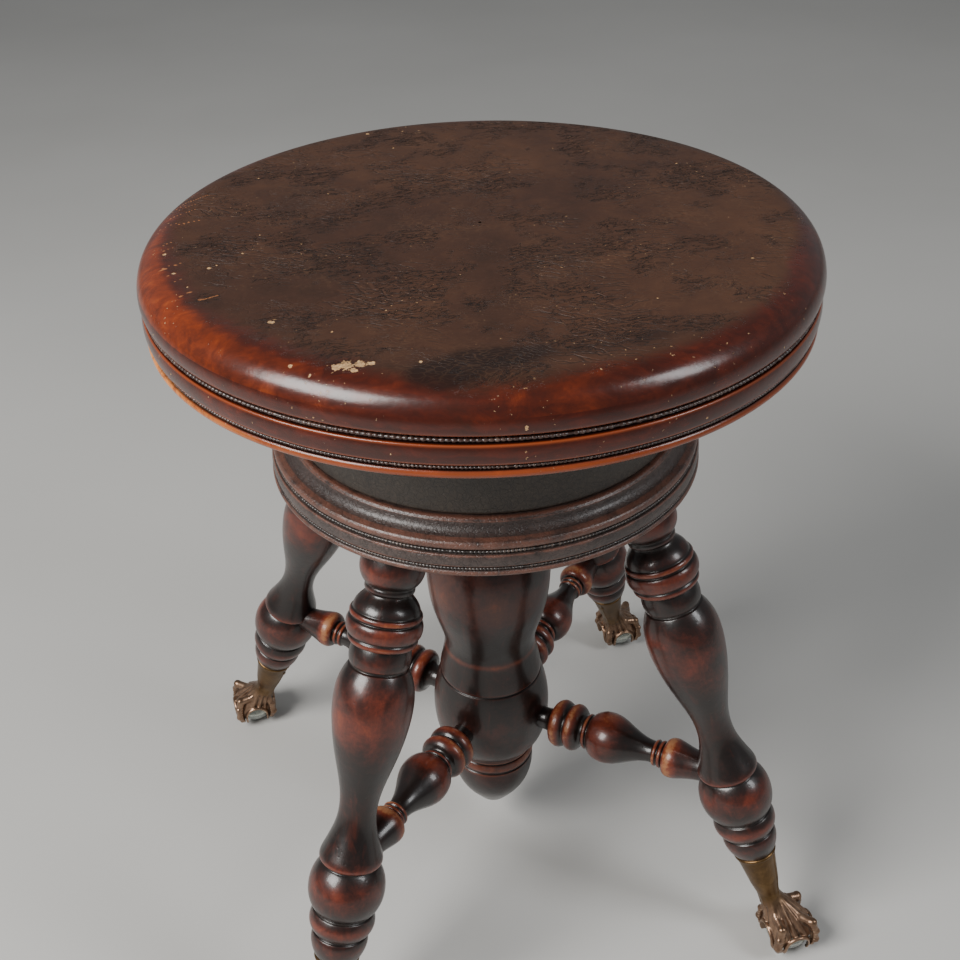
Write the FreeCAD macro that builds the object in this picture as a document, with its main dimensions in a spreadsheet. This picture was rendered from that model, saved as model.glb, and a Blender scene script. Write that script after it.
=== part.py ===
# Revolving piano stool.
# A round wooden seat turns on a steel screw that climbs in an iron nut, so that
# turning the seat raises or lowers it.  The nut sits in a round moulded cap on
# top of a turned centre column.  Four turned legs splay out from the cap to
# cast claw feet that grip glass balls, and four turned stretchers run from the
# column to the legs.
#
# Frame: Z up, origin on the floor below the middle of the seat, Y to the back.
# The legs stand at 45, 135, 225 and 315 degrees.  All lengths in millimetres.

import FreeCAD, Part
import math
import os
import Sketcher

os.makedirs("parts", exist_ok=True)
doc = FreeCAD.newDocument("piano_stool")
V3 = FreeCAD.Vector
UP = V3(0, 0, 1)

# ---------------------------------------------------------------- sizes -----
sheet = doc.addObject("Spreadsheet::Sheet", "sizes")
sheet.Label = "sizes"
SIZE = {}


def size(alias, value):
    """One row of the sheet: a name, a plain number, and an alias on it."""
    row = len(SIZE) + 1
    sheet.set("A%d" % row, alias)
    sheet.set("B%d" % row, repr(float(value)))
    sheet.setAlias("B%d" % row, alias)
    SIZE[alias] = float(value)
    return float(value)


for alias, value in (
    # heights of the whole stool at its lowest setting
    ("seat_bottom_level", 416.5),
    ("seat_thickness", 42.6),
    ("cap_bottom_level", 320.5),
    ("cap_height", 27.9),
    ("column_bottom_level", 21.0),
    ("ball_level", 13.5),
    # lift: how far the screw raises the seat, and its thread
    ("seat_travel", 114.3),
    ("thread_pitch", 6.35),
    ("thread_outer_radius", 12.7),
    ("thread_root_radius", 10.9),
    ("thread_crest_width", 2.3),
    ("thread_root_width", 3.6),
    ("thread_bottom_level", 171.3),
    ("thread_length", 190.5),
    ("screw_shank_radius", 12.0),
    ("screw_top_level", 411.0),
    ("screw_tail_radius", 7.92),
    ("screw_tail_length", 15.0),
    ("nut_bore_radius", 11.4),
    ("nut_groove_radius", 13.15),
    ("nut_tooth_gap_root", 4.5),
    ("nut_tooth_gap_tip", 3.2),
    ("nut_barrel_radius", 21.2),
    ("nut_barrel_length", 54.6),
    ("nut_flange_radius", 46.0),
    ("nut_flange_thickness", 6.0),
    ("nut_flange_level", 341.2),
    ("nut_screw_circle", 38.0),
    ("nut_screw_hole_radius", 2.6),
    # collar below the seat
    ("collar_length", 67.3),
    ("collar_screw_circle", 101.5),
    ("collar_screw_hole_radius", 2.6),
    ("collar_screw_well_radius", 4.9),
    ("collar_screw_well_depth", 46.0),
    # iron spider
    ("spider_arm_length", 78.0),
    ("spider_arm_width", 22.0),
    ("spider_arm_thickness", 6.3),
    ("spider_lug_radius", 12.5),
    ("spider_hub_radius", 20.0),
    ("spider_hub_length", 33.0),
    ("spider_bore_radius", 12.0),
    ("spider_screw_circle", 68.0),
    ("spider_screw_hole_radius", 2.6),
    ("pin_radius", 2.5),
    ("pin_length", 44.0),
    ("pin_level", 392.5),
    # washer and pin at the foot of the screw
    ("stop_washer_radius", 17.2),
    ("stop_washer_bore_radius", 8.0),
    ("stop_washer_thickness", 9.0),
    ("stop_pin_radius", 1.6),
    ("stop_pin_length", 25.0),
    ("stop_pin_level", 158.9),
    # cap and column
    ("cap_recess_radius", 46.4),
    ("cap_recess_depth", 7.2),
    ("cap_nut_hole_radius", 21.4),
    ("cap_tenon_hole_radius", 30.1),
    ("cap_tenon_hole_depth", 14.5),
    ("column_bore_radius", 18.6),
    ("column_bore_bottom", 150.3),
    ("column_top_bore_radius", 21.6),
    ("column_top_bore_bottom", 285.5),
    # wood screws
    ("screw_shaft_radius", 2.5),
    ("screw_head_radius", 4.6),
    ("screw_head_height", 3.0),
    ("screw_slot_width", 1.1),
    ("screw_slot_depth", 1.3),
    ("spider_screw_length", 24.0),
    ("nut_screw_length", 20.0),
    ("collar_screw_length", 40.0),
    # legs
    ("leg_top_radius_on_cap", 95.0),
    ("leg_splay_angle", 20.87),
    ("leg_frame_length", 289.0),
    ("leg_socket_radius", 15.95),
    ("leg_socket_depth", 6.1),
    ("leg_tenon_hole_radius", 11.1),
    ("leg_tenon_hole_depth", 20.4),
    # stretchers
    ("stretcher_axis_level", 115.0),
    ("stretcher_rise_angle", 4.6),
    ("stretcher_hole_radius", 7.35),
    ("stretcher_hole_bottom", 17.4),
    ("stretcher_end_hole_radius", 9.8),
    ("stretcher_end_hole_start", 155.1),
    ("stretcher_tenon_hole_radius", 6.1),
    ("stretcher_tenon_hole_start", 166.5),
    # claw feet and glass balls
    ("ball_circle_radius", 217.7),
    ("ball_radius", 13.8),
    ("ball_seat_radius", 13.95),
    ("palm_radius", 17.6),
    ("claw_bottom_level", 4.0),
    ("claw_arch_radius", 9.0),
    ("claw_arch_level", 8.6),
    ("claw_turn_angle", 0.0),
    ("ferrule_top_radius", 12.9),
    ("ferrule_lip_radius", 13.3),
    ("ferrule_lip_height", 1.8),
    ("ferrule_middle_radius", 9.5),
    ("ferrule_upper_length", 25.3),
    ("ankle_radius", 6.3),
    ("ankle_length", 14.4),
    ("palm_cone_radius", 14.5),
    ("palm_cone_length", 20.0),
    ("foot_socket_top_radius", 9.62),
    ("foot_socket_bottom_radius", 7.42),
    ("foot_socket_depth", 22.2),
    ("knuckle_radius", 4.8),
    ("knuckle_circle_radius", 14.5),
    ("knuckle_level", 26.0),
    ("claw_tip_radius", 3.6),
    ("claw_tip_circle_radius", 16.2),
    ("claw_tip_level", 6.5),
    ("talon_lower_radius", 3.1),
    ("talon_upper_radius", 4.1),
    ("talon_length", 19.57),
    ("foot_pin_radius", 1.25),
    ("foot_pin_hole_radius", 1.3),
    ("foot_pin_length", 10.0),
    ("foot_pin_position", 15.0),
    # derived
    ("screw_core_length", 190.5 + 6.35),
    ("screw_shank_length", 411.0 - 171.3 - 190.5 - 6.35),
):
    size(alias, value)


# Turned outlines.  Each row is a radius, a distance along the axis and the
# radius of the arc that runs from this row to the next: 0 for a straight line,
# positive where the outline bulges out, negative where it hollows in.
LEG = [
    (0, 3.5, 0), (6.6, 3.5, 0), (7.3, 4.5, 0), (9.5, 25.3, 0),
    (12.5, 25.3, 12.24), (13.42, 26.6, 20.46), (14.2, 28, 24.26), (15.28, 30.45, 27.08),
    (16.1, 33, 22.38), (16.58, 35.23, 13.74), (16.75, 37.5, 11.29), (16.59, 39.33, 9.21),
    (16.1, 41.1, 0), (15.2, 41.7, 0), (15.2, 42.7, 0), (16.4, 43.1, 9.66),
    (17.28, 44.2, 11.84), (18, 45.4, 11.88), (18.78, 47.25, 9.99), (19.2, 49.2, 10.06),
    (19.23, 51.21, 13.29), (18.9, 53.2, 14.34), (18.47, 54.63, 14.08), (17.9, 56, 0),
    (16.9, 56.6, 0), (16.9, 57.4, 0), (17.7, 57.8, 11.22), (18.91, 59.32, 16.91),
    (19.9, 61, 19.98), (21.03, 63.69, 24.06), (21.8, 66.5, 23.9), (22.23, 69.48, 27.6),
    (22.3, 72.5, 28.43), (22.01, 75.78, 23.38), (21.3, 79, 23.63), (20.27, 81.82, 26.33),
    (18.9, 84.5, 25.23), (17.96, 85.99, 19.71), (16.9, 87.4, 0), (16.2, 88, 0),
    (16.2, 88.9, 0), (17.2, 89.2, 2.59), (17.91, 89.89, 2.41), (18.3, 90.8, 3.62),
    (18.33, 92, 11.04), (18.1, 93.2, 19.09), (17.5, 95.12, 278.61), (16.8, 97, -212.28),
    (15.52, 100.49, -179.87), (14.3, 104, -117.67), (12.9, 108.46, -52.11), (11.8, 113, -46.58),
    (11.15, 117.48, -53.51), (10.9, 122, -56.04), (11.03, 126.51, -62.57), (11.5, 131, -74.97),
    (12.5, 136.53, -155.07), (13.8, 142, -345.02), (15.96, 150, 275.58), (18.1, 158, 190.46),
    (20.02, 166.46, 149.94), (21.5, 175, 123.57), (22.3, 181.98, 81.43), (22.6, 189, 65.13),
    (22.36, 194.54, 39.15), (21.5, 200, 36.64), (20.4, 203.82, 39.37), (18.9, 207.5, 37.72),
    (17.96, 209.38, 30.72), (16.9, 211.2, 0), (15.9, 211.7, 0), (15.9, 212.9, 0),
    (16.6, 213.2, 11.85), (17.09, 215.07, 15.91), (17.3, 217, 18.38), (17.27, 219.26, 23.28),
    (17, 221.5, 24.83), (16.58, 223.47, 25.17), (16, 225.4, 0), (18.5, 226, 3.98),
    (19.13, 226.73, 2.59), (19.5, 227.6, 2.56), (19.54, 228.51, 3.76), (19.3, 229.4, 0),
    (18.9, 229.8, 0), (18.9, 230.5, 0), (19.7, 230.7, 4.78), (20.42, 231.68, 6.07),
    (20.9, 232.8, 7.75), (21.2, 234.18, 13.94), (21.3, 235.6, 13.95), (21.26, 237.01, 6.97),
    (21, 238.4, 5.14), (20.61, 239.36, 3.64), (20, 240.2, 0), (19.3, 240.6, 0),
    (19.3, 241.1, 0), (19.6, 241.3, 1.69), (20.05, 241.93, 2.09), (20.2, 242.7, 2.57),
    (20.1, 243.43, 2.6), (19.8, 244.1, 2.21), (19.54, 244.44, 1.39), (19.2, 244.7, 0),
    (18.7, 245.1, 8.1), (18.44, 246.37, 10.39), (18, 247.6, 11.76), (17.28, 249, 14.37),
    (16.4, 250.3, 18.08), (15.38, 251.52, 185.33), (14.3, 252.7, -45.96), (13.56, 253.52, -6.81),
    (12.9, 254.4, -4.18), (12.66, 254.83, -2.27), (12.5, 255.3, 0), (13.2, 255.8, 4.3),
    (13.67, 256.66, 3.16), (13.9, 257.6, 3.17), (13.83, 258.57, 4.33), (13.5, 259.5, 0),
    (14, 260.1, 11.36), (15.14, 261.38, 13.56), (16.1, 262.8, 14.1), (16.98, 264.6, 13.64),
    (17.6, 266.5, 13.64), (17.93, 268.49, 17.42), (18, 270.5, 22.38), (17.83, 272.76, 53.09),
    (17.5, 275, 72.28), (17.13, 277.01, 61.68), (16.7, 279, 56.91), (16.3, 280.61, 48.41),
    (15.85, 282.2, 0), (15.85, 295, 0), (11, 295, 0), (11, 308, 0),
    (10, 309, 0), (0, 309, 0),
]
STRETCHER = [
    (0, 18, 0), (6.4, 18, 0), (7.25, 18.9, 0), (7.25, 43.5, 0),
    (7.6, 45.2, -6.28), (8.12, 46.16, -5.62), (8.8, 47, -5.72), (9.69, 47.74, -6.8),
    (10.7, 48.3, 0), (12.7, 48.8, 4.64), (13.83, 49.56, 5.01), (14.7, 50.6, 5.23),
    (15.27, 51.85, 5.31), (15.5, 53.2, 5.66), (15.37, 54.64, 6.22), (14.9, 56, 5.8),
    (14.34, 56.92, 4.2), (13.6, 57.7, 0), (12.9, 58.2, 0), (12.9, 59.1, 0),
    (13.6, 59.5, 3.75), (14.29, 60.18, 4.83), (14.8, 61, 5.03), (15.22, 62.22, 4.59),
    (15.3, 63.5, 4.81), (14.95, 64.97, 6.45), (14.2, 66.3, 6.78), (13.21, 67.38, 5.57),
    (12, 68.2, 0), (10.6, 68.8, -3.21), (9.99, 69.26, -1.47), (9.6, 69.9, -1.34),
    (9.55, 70.46, -2.1), (9.7, 71, 0), (10.7, 71.5, 3.13), (11.24, 72.03, 1.17),
    (11.5, 72.7, 1.14), (11.34, 73.35, 2.79), (10.9, 73.9, 0), (10.3, 74.2, 0),
    (10.3, 74.8, 0), (11.4, 75.1, 7.01), (13.03, 76.36, 9.48), (14.3, 78, 11.92),
    (15.34, 80.17, 17.55), (16, 82.5, 18.49), (16.33, 84.74, 21.09), (16.4, 87, 22.02),
    (16.2, 89.52, 20.76), (15.7, 92, 25.18), (14.68, 95.05, 73.17), (13.4, 98, 191.42),
    (11.99, 101, -113.61), (10.6, 104, -71.01), (9.36, 106.97, -42.1), (8.3, 110, -34.84),
    (7.64, 112.48, -24.88), (7.2, 115, -21.08), (7.06, 116.8, -15.57), (7.1, 118.6, 0),
    (7.8, 119, 2.89), (8.28, 119.54, 1.22), (8.5, 120.2, 1.21), (8.33, 120.85, 2.74),
    (7.9, 121.4, 0), (7.4, 121.7, 0), (7.4, 122.2, 0), (8, 122.5, 3.19),
    (8.54, 123.08, 1.34), (8.8, 123.8, 1.31), (8.64, 124.5, 2.9), (8.2, 125.1, 0),
    (7.7, 125.4, 0), (7.7, 125.9, 0), (9.6, 126.2, 4.73), (10.86, 127.02, 4.84),
    (11.8, 128.2, 5.66), (12.38, 129.65, 7.78), (12.6, 131.2, 10.09), (12.45, 133.37, 31.89),
    (12, 135.5, 75.49), (11.26, 138.25, -123.94), (10.5, 141, -72.85), (9.78, 143.98, -57.05),
    (9.2, 147, -50.91), (8.8, 149.99, -41.11), (8.6, 153, 0), (8.6, 155, 0),
    (6, 155, 0), (6, 165.3, 0), (5.3, 166, 0), (0, 166, 0),
]
COLUMN = [
    (0, 0, 10.78), (2.38, 0.62, 14.15), (4.6, 1.7, 17.73), (7.26, 3.66, 29.25),
    (9.6, 6, 41.45), (12.51, 9.66, 394.81), (15.2, 13.5, 489.15), (18.87, 18.9, 59.19),
    (22.2, 24.5, 45.25), (24.39, 29.39, 46.63), (26, 34.5, 49.31), (26.91, 38.97, 48.29),
    (27.4, 43.5, 45.43), (27.48, 46.75, 36.91), (27.3, 50, 0), (26.4, 50.5, 0),
    (26.4, 51.5, 0), (27, 51.9, 8.34), (27.66, 53.55, 6.48), (27.9, 55.3, 6.48),
    (27.66, 57.05, 8.34), (27, 58.7, 0), (26.1, 59.2, 0), (26.1, 60.4, 0),
    (27.4, 60.7, 0), (27.7, 64.1, 0), (27, 64.7, 0), (28.8, 65.2, 19.77),
    (31.05, 67.69, 25.13), (32.9, 70.5, 29.61), (34.75, 74.4, 42.17), (36.1, 78.5, 51.74),
    (37.28, 83.96, 91.94), (38, 89.5, 102.74), (38.43, 95.99, 80.57), (38.4, 102.5, 77.45),
    (37.89, 108.53, 75.39), (36.9, 114.5, 75.53), (35.95, 118.53, 89.81), (34.8, 122.5, 95.88),
    (34.08, 124.71, 107.23), (33.3, 126.9, 0), (32.3, 127.3, 0), (32.3, 128.4, 0),
    (33.2, 128.8, 28.53), (33.03, 131.16, 46.37), (32.7, 133.5, 71.25), (32.13, 136.51, 0),
    (31.5, 139.5, -254.06), (30.69, 143.49, -88.79), (30, 147.5, -57.35), (29.59, 150.99, -29.55),
    (29.5, 154.5, -28.76), (29.83, 158.02, -54.07), (30.5, 161.5, -96.62), (31.92, 167.02, 0),
    (33.5, 172.5, 298.36), (35.42, 179.46, 97.24), (37, 186.5, 94.65), (38.08, 193.97, 178.89),
    (38.7, 201.5, 151.5), (38.96, 208, 55.99), (38.7, 214.5, 46.3), (37.92, 219.56, 48.91),
    (36.6, 224.5, 56.24), (34.9, 229.06, 101.67), (32.9, 233.5, 345.34), (30.97, 237.46, -45.92),
    (29.2, 241.5, -27.64), (28.26, 244.45, -15.08), (27.8, 247.5, 0), (27, 248.1, 0),
    (27, 249.7, 0), (29.6, 250.1, 5.9), (31.26, 250.98, 7.08), (32.6, 252.3, 6.43),
    (33.47, 253.81, 4.48), (33.8, 255.5, 4.48), (33.47, 257.19, 6.43), (32.6, 258.7, 7.08),
    (31.26, 260.02, 5.9), (29.6, 260.9, 0), (27.6, 261.3, 0), (27.6, 262.7, 0),
    (28.4, 263.1, -34.47), (28.51, 266.82, -36.73), (29, 270.5, -34.78), (30.02, 274.59, -26.74),
    (31.6, 278.5, -22.57), (33.35, 281.43, -16.34), (35.6, 284, 0), (36.8, 284.9, 0),
    (36.8, 286.7, 0), (37.6, 287.1, 7.93), (38.77, 288.49, 8.07), (39.6, 290.1, 8.82),
    (40.05, 291.77, 11), (40.2, 293.5, 11.52), (40.07, 295.33, 8.67), (39.6, 297.1, 7.09),
    (38.94, 298.4, 5.18), (38, 299.5, 0), (30, 299.5, 0), (30, 312.7, 0),
    (29, 313.7, 0), (0, 313.7, 0),
]
SEAT = [
    (0, 0, 0), (175.9, 0, 4.71), (176.76, 0.83, 2.08), (177.2, 1.9, 2.1),
    (176.99, 3.07, 4.94), (176.3, 4.1, 0), (174.8, 4.3, 0), (174.8, 7.1, 0),
    (177.2, 7.3, 16.83), (177.79, 9.72, 15.56), (178, 12.2, 15.72), (177.8, 14.78, 17.69),
    (177.2, 17.3, 0), (174.8, 17.5, 0), (174.8, 21.2, 0), (177, 21.5, 6.52),
    (177.71, 23.19, 9.68), (178, 25, 12.72), (177.89, 27.73, 20.57), (177.3, 30.4, 19.61),
    (176.32, 33.06, 14.4), (174.9, 35.5, 14.43), (172.94, 37.71, 16.6), (170.6, 39.5, 17.43),
    (167.8, 40.94, 21.51), (164.8, 41.9, 24.54), (161.18, 42.49, 31.47), (157.5, 42.6, 0),
    (0, 42.6, 0),
]
CAP = [
    (0, 0, 0), (121.6, 0, 4.55), (122.52, 0.44, 1.37), (123.1, 1.2, 1.41),
    (123.01, 2.25, 5.39), (122.4, 3.2, 0), (121.2, 3.4, 0), (121.2, 5.4, 0),
    (122.3, 5.7, 11.34), (122.62, 7.34, 10.82), (122.7, 9, 11.1), (122.49, 10.83, 12.85),
    (122, 12.6, 0), (119.9, 12.9, 0), (119.9, 15.4, 0), (121, 15.7, 4.29),
    (121.43, 16.71, 2.62), (121.5, 17.8, 2.68), (121.08, 18.9, 4.78), (120.3, 19.8, 0),
    (118.9, 20.1, 0), (117.6, 20.3, -5.21), (116.01, 20.68, -5.91), (114.6, 21.5, -6.5),
    (113.51, 22.59, -6.89), (112.7, 23.9, -6.61), (112.26, 25.12, -5.43), (112.1, 26.4, 0),
    (111.6, 26.8, 2.9), (111.18, 27.38, 1.82), (110.6, 27.8, 1.82), (109.91, 27.96, 2.87),
    (109.2, 27.9, 0), (0, 27.9, 0),
]
COLLAR = [(94, 0, 0), (107.5, 0, 1.5), (109, 1.5, 0), (109, 67.3, 0), (94, 67.3, 0)]
TURNINGS = {"collar": COLLAR, "leg": LEG, "stretcher": STRETCHER, "column": COLUMN, "seat": SEAT, "cap": CAP}
for name, rows in TURNINGS.items():
    for i, (rad, pos, arc) in enumerate(rows):
        if rad:
            size("%s_%03d_rad" % (name, i), rad)
        if pos:
            size("%s_%03d_pos" % (name, i), pos)
        if arc:
            size("%s_%03d_arc" % (name, i), abs(arc))
doc.recompute()
for alias in SIZE:
    SIZE[alias] = float(sheet.get(alias))
D = SIZE


# -------------------------------------------------------------- helpers -----
def bind(obj, **props):
    for prop, expr in props.items():
        obj.setExpression(prop, expr if "sizes." in expr else "sizes." + expr)
    return obj


def origin_part(body, role):
    return [f for f in body.Origin.OriginFeatures if f.Role == role][0]


def new_body(label):
    body = doc.addObject("PartDesign::Body", label)
    body.Label = label
    return body


def new_sketch(body, name, role="XY_Plane"):
    sketch = body.newObject("Sketcher::SketchObject", name)
    sketch.AttachmentSupport = [(origin_part(body, role), "")]
    sketch.MapMode = "FlatFace"
    return sketch


def constrain(sketch, items):
    """items: (constraint, name, expression); name is None where it's only geometric"""
    sketch.addConstraint([c for c, n, e in items])
    for k, (c, n, e) in enumerate(items):
        if n:
            sketch.renameConstraint(k, n)
            sketch.setExpression("Constraints." + n, e)


def outline(sketch, rows):
    """A closed outline of lines and arcs.  A row: radius, position, arc, and the
    names that these three have in the sheet."""
    pts = [V3(row[0], row[1], 0) for row in rows]
    n = len(rows)
    starts, ends, geos = [], [], []
    for i in range(n):
        a, b, arc = pts[i], pts[(i + 1) % n], rows[i][2]
        if arc == 0:
            geos.append(Part.LineSegment(a, b))
            starts.append(1)
            ends.append(2)
            continue
        chord = b.sub(a)
        half = chord.Length / 2.0
        left = V3(-chord.y, chord.x, 0)
        left.normalize()
        side = 1.0 if arc > 0 else -1.0
        mid = V3((a.x + b.x) / 2.0, (a.y + b.y) / 2.0, 0)
        reach = side * math.sqrt(arc * arc - half * half)
        centre = V3(mid.x + left.x * reach, mid.y + left.y * reach, 0)
        first, last = (a, b) if arc > 0 else (b, a)
        t0 = math.atan2(first.y - centre.y, first.x - centre.x)
        t1 = math.atan2(last.y - centre.y, last.x - centre.x)
        if t1 < t0:
            t1 += 2 * math.pi
        geos.append(Part.ArcOfCircle(Part.Circle(centre, UP, abs(arc)), t0, t1))
        starts.append(1 if arc > 0 else 2)
        ends.append(2 if arc > 0 else 1)
    sketch.addGeometry(geos, False)
    items = []
    for i in range(n):
        j = (i + 1) % n
        items.append((Sketcher.Constraint("Coincident", i, ends[i], j, starts[j]), None, None))
    for i, (rad, pos, arc, rad_name, pos_name, arc_name) in enumerate(rows):
        if rad == 0:
            items.append((Sketcher.Constraint("PointOnObject", i, starts[i], -2), None, None))
        else:
            items.append((Sketcher.Constraint("DistanceX", -1, 1, i, starts[i], rad),
                          "rad%03d" % i, "sizes." + rad_name))
        if pos == 0:
            items.append((Sketcher.Constraint("PointOnObject", i, starts[i], -1), None, None))
        else:
            items.append((Sketcher.Constraint("DistanceY", -1, 1, i, starts[i], pos),
                          "pos%03d" % i, "sizes." + pos_name))
        if arc:
            items.append((Sketcher.Constraint("Radius", i, abs(arc)),
                          "arc%03d" % i, "sizes." + arc_name))
    constrain(sketch, items)


def turning(label, name, table, longest=26):
    """A body turned from a chain of lines and arcs, from axis to axis.  A long
    outline is cut into sections that meet on flat discs across the axis."""
    rows = [(rad, pos, arc, "%s_%03d_rad" % (name, i), "%s_%03d_pos" % (name, i), "%s_%03d_arc" % (name, i))
            for i, (rad, pos, arc) in enumerate(table)]
    n = len(rows)
    clean = [i for i in range(2, n - 2)
             if max(r[1] for r in rows[:i]) < rows[i][1] < min(r[1] for r in rows[i + 1:])]
    cuts, last = [], 0
    while n - last > longest:
        ahead = [i for i in clean if last + longest // 2 < i <= last + longest]
        last = ahead[-1]
        cuts.append(last)
    body = new_body(label)
    bounds = [0] + cuts + [n - 1]
    for k in range(len(bounds) - 1):
        lo, hi = bounds[k], bounds[k + 1]
        part = [list(r) for r in rows[lo:hi + 1]]
        if lo > 0:
            part.insert(0, [0.0, rows[lo][1], 0.0, "", rows[lo][4], ""])
        if hi < n - 1:
            part[-1][2] = 0.0
            part.append([0.0, rows[hi][1], 0.0, "", rows[hi][4], ""])
        sketch = new_sketch(body, "%s_outline_%d" % (label, k), "XZ_Plane")
        outline(sketch, part)
        rev = body.newObject("PartDesign::Revolution", "%s_turning_%d" % (label, k))
        rev.Profile = sketch
        rev.ReferenceAxis = (sketch, ["V_Axis"])
        rev.Angle = 360
        doc.recompute()
    return body


def cut_round(body, name, radius, height, base, direction=UP):
    """A round hole: a cylinder taken out of the body, from base along direction."""
    tool = body.newObject("PartDesign::SubtractiveCylinder", name)
    bind(tool, Radius=radius, Height=height)
    tool.Placement = FreeCAD.Placement(base, FreeCAD.Rotation(UP, direction))
    doc.recompute()
    return tool


def repeat(body, name, features, count=4):
    pattern = body.newObject("PartDesign::PolarPattern", name)
    pattern.Originals = features
    pattern.Axis = (origin_part(body, "Z_Axis"), [""])
    pattern.Angle = 360
    pattern.Occurrences = count
    body.Tip = pattern
    doc.recompute()
    return pattern


def circle(sketch, items, index, radius_expr, value, cx=0.0, cy=0.0, cx_expr=None, cy_expr=None):
    sketch.addGeometry(Part.Circle(V3(cx, cy, 0), UP, value), False)
    items.append((Sketcher.Constraint("Radius", index, value), "r%d" % index, radius_expr))
    if cx_expr:
        items.append((Sketcher.Constraint("DistanceX", -1, 1, index, 3, cx), "x%d" % index, cx_expr))
    else:
        items.append((Sketcher.Constraint("PointOnObject", index, 3, -2), None, None))
    if cy_expr:
        items.append((Sketcher.Constraint("DistanceY", -1, 1, index, 3, cy), "y%d" % index, cy_expr))
    else:
        items.append((Sketcher.Constraint("PointOnObject", index, 3, -1), None, None))


def pad(body, name, sketch, length):
    feat = body.newObject("PartDesign::Pad", name)
    feat.Profile = sketch
    bind(feat, Length=length)
    doc.recompute()
    return feat


def ring_body(label, outer, inner, length):
    body = new_body(label)
    sketch = new_sketch(body, label + "_ring")
    items = []
    circle(sketch, items, 0, "sizes." + outer, D[outer])
    circle(sketch, items, 1, "sizes." + inner, D[inner])
    constrain(sketch, items)
    pad(body, label + "_body", sketch, length)
    return body


def primitive(kind, name, **props):
    obj = doc.addObject("Part::" + kind, name)
    for prop, expr in props.items():
        if isinstance(expr, str):
            bind(obj, **{prop: expr})
        else:
            setattr(obj, prop, expr)
    return obj


def place(obj, base, direction=UP):
    obj.Placement = FreeCAD.Placement(base, FreeCAD.Rotation(UP, direction))
    return obj


def fuse(name, shapes):
    obj = doc.addObject("Part::MultiFuse", name)
    obj.Shapes = shapes
    return obj


def cut(name, base, tool):
    obj = doc.addObject("Part::Cut", name)
    obj.Base = base
    obj.Tool = tool
    return obj


NODES = []


def node(obj, label, placement=None):
    obj.Label = label
    if placement is not None:
        obj.Placement = placement
    NODES.append(obj)
    return obj


def lift_to(z):
    return FreeCAD.Placement(V3(0, 0, z), FreeCAD.Rotation())


CORNERS = (("front_right", -45.0), ("back_right", 45.0),
           ("back_left", 135.0), ("front_left", -135.0))


def at_corners(source, label):
    """The same piece at the four corners, from one drawn in the X-Z plane."""
    for corner, angle in CORNERS:
        turned = doc.addObject("Part::Compound", label + "_" + corner)
        turned.Links = [source]
        doc.recompute()
        node(turned, label + "_" + corner, FreeCAD.Placement(V3(), FreeCAD.Rotation(UP, angle)))

# ------------------------------------------------------------------ seat ----
# The seat board: a thick disc with a rolled top edge and two grooves around
# its rim.  Blind pilot holes in its underside take the screws.
body = turning("seat_top", "seat", SEAT)
hole = cut_round(body, "spider_pilot", "screw_shaft_radius",
                 "sizes.spider_screw_length - sizes.spider_arm_thickness + 0.5",
                 V3(D["spider_screw_circle"], 0, 0))
repeat(body, "spider_pilots", [hole])
ang = math.radians(45)
hole = cut_round(body, "collar_pilot", "screw_shaft_radius",
                 "sizes.collar_screw_length - sizes.collar_length + sizes.collar_screw_well_depth + 0.5",
                 V3(D["collar_screw_circle"] * math.cos(ang), D["collar_screw_circle"] * math.sin(ang), 0))
repeat(body, "collar_pilots", [hole])
node(body, "seat_top", lift_to(D["seat_bottom_level"]))

# The deep collar below the seat hides the iron spider.
collar_level = D["seat_bottom_level"] - D["collar_length"]
body = new_body("seat_collar")
sketch = new_sketch(body, "collar_section", "XZ_Plane")
outline(sketch, [(rad, pos, arc, "collar_%03d_rad" % i, "collar_%03d_pos" % i, "collar_%03d_arc" % i)
                 for i, (rad, pos, arc) in enumerate(COLLAR)])
rev = body.newObject("PartDesign::Revolution", "collar_turning")
rev.Profile = sketch
rev.ReferenceAxis = (sketch, ["V_Axis"])
rev.Angle = 360
doc.recompute()
well = cut_round(body, "collar_screw_well", "collar_screw_well_radius", "collar_screw_well_depth",
                 V3(D["collar_screw_circle"] * math.cos(ang), D["collar_screw_circle"] * math.sin(ang), 0))
hole = cut_round(body, "collar_screw_hole", "collar_screw_hole_radius", "collar_length",
                 V3(D["collar_screw_circle"] * math.cos(ang), D["collar_screw_circle"] * math.sin(ang), 0))
repeat(body, "collar_screw_holes", [well, hole])
node(body, "seat_collar", lift_to(collar_level))

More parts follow.
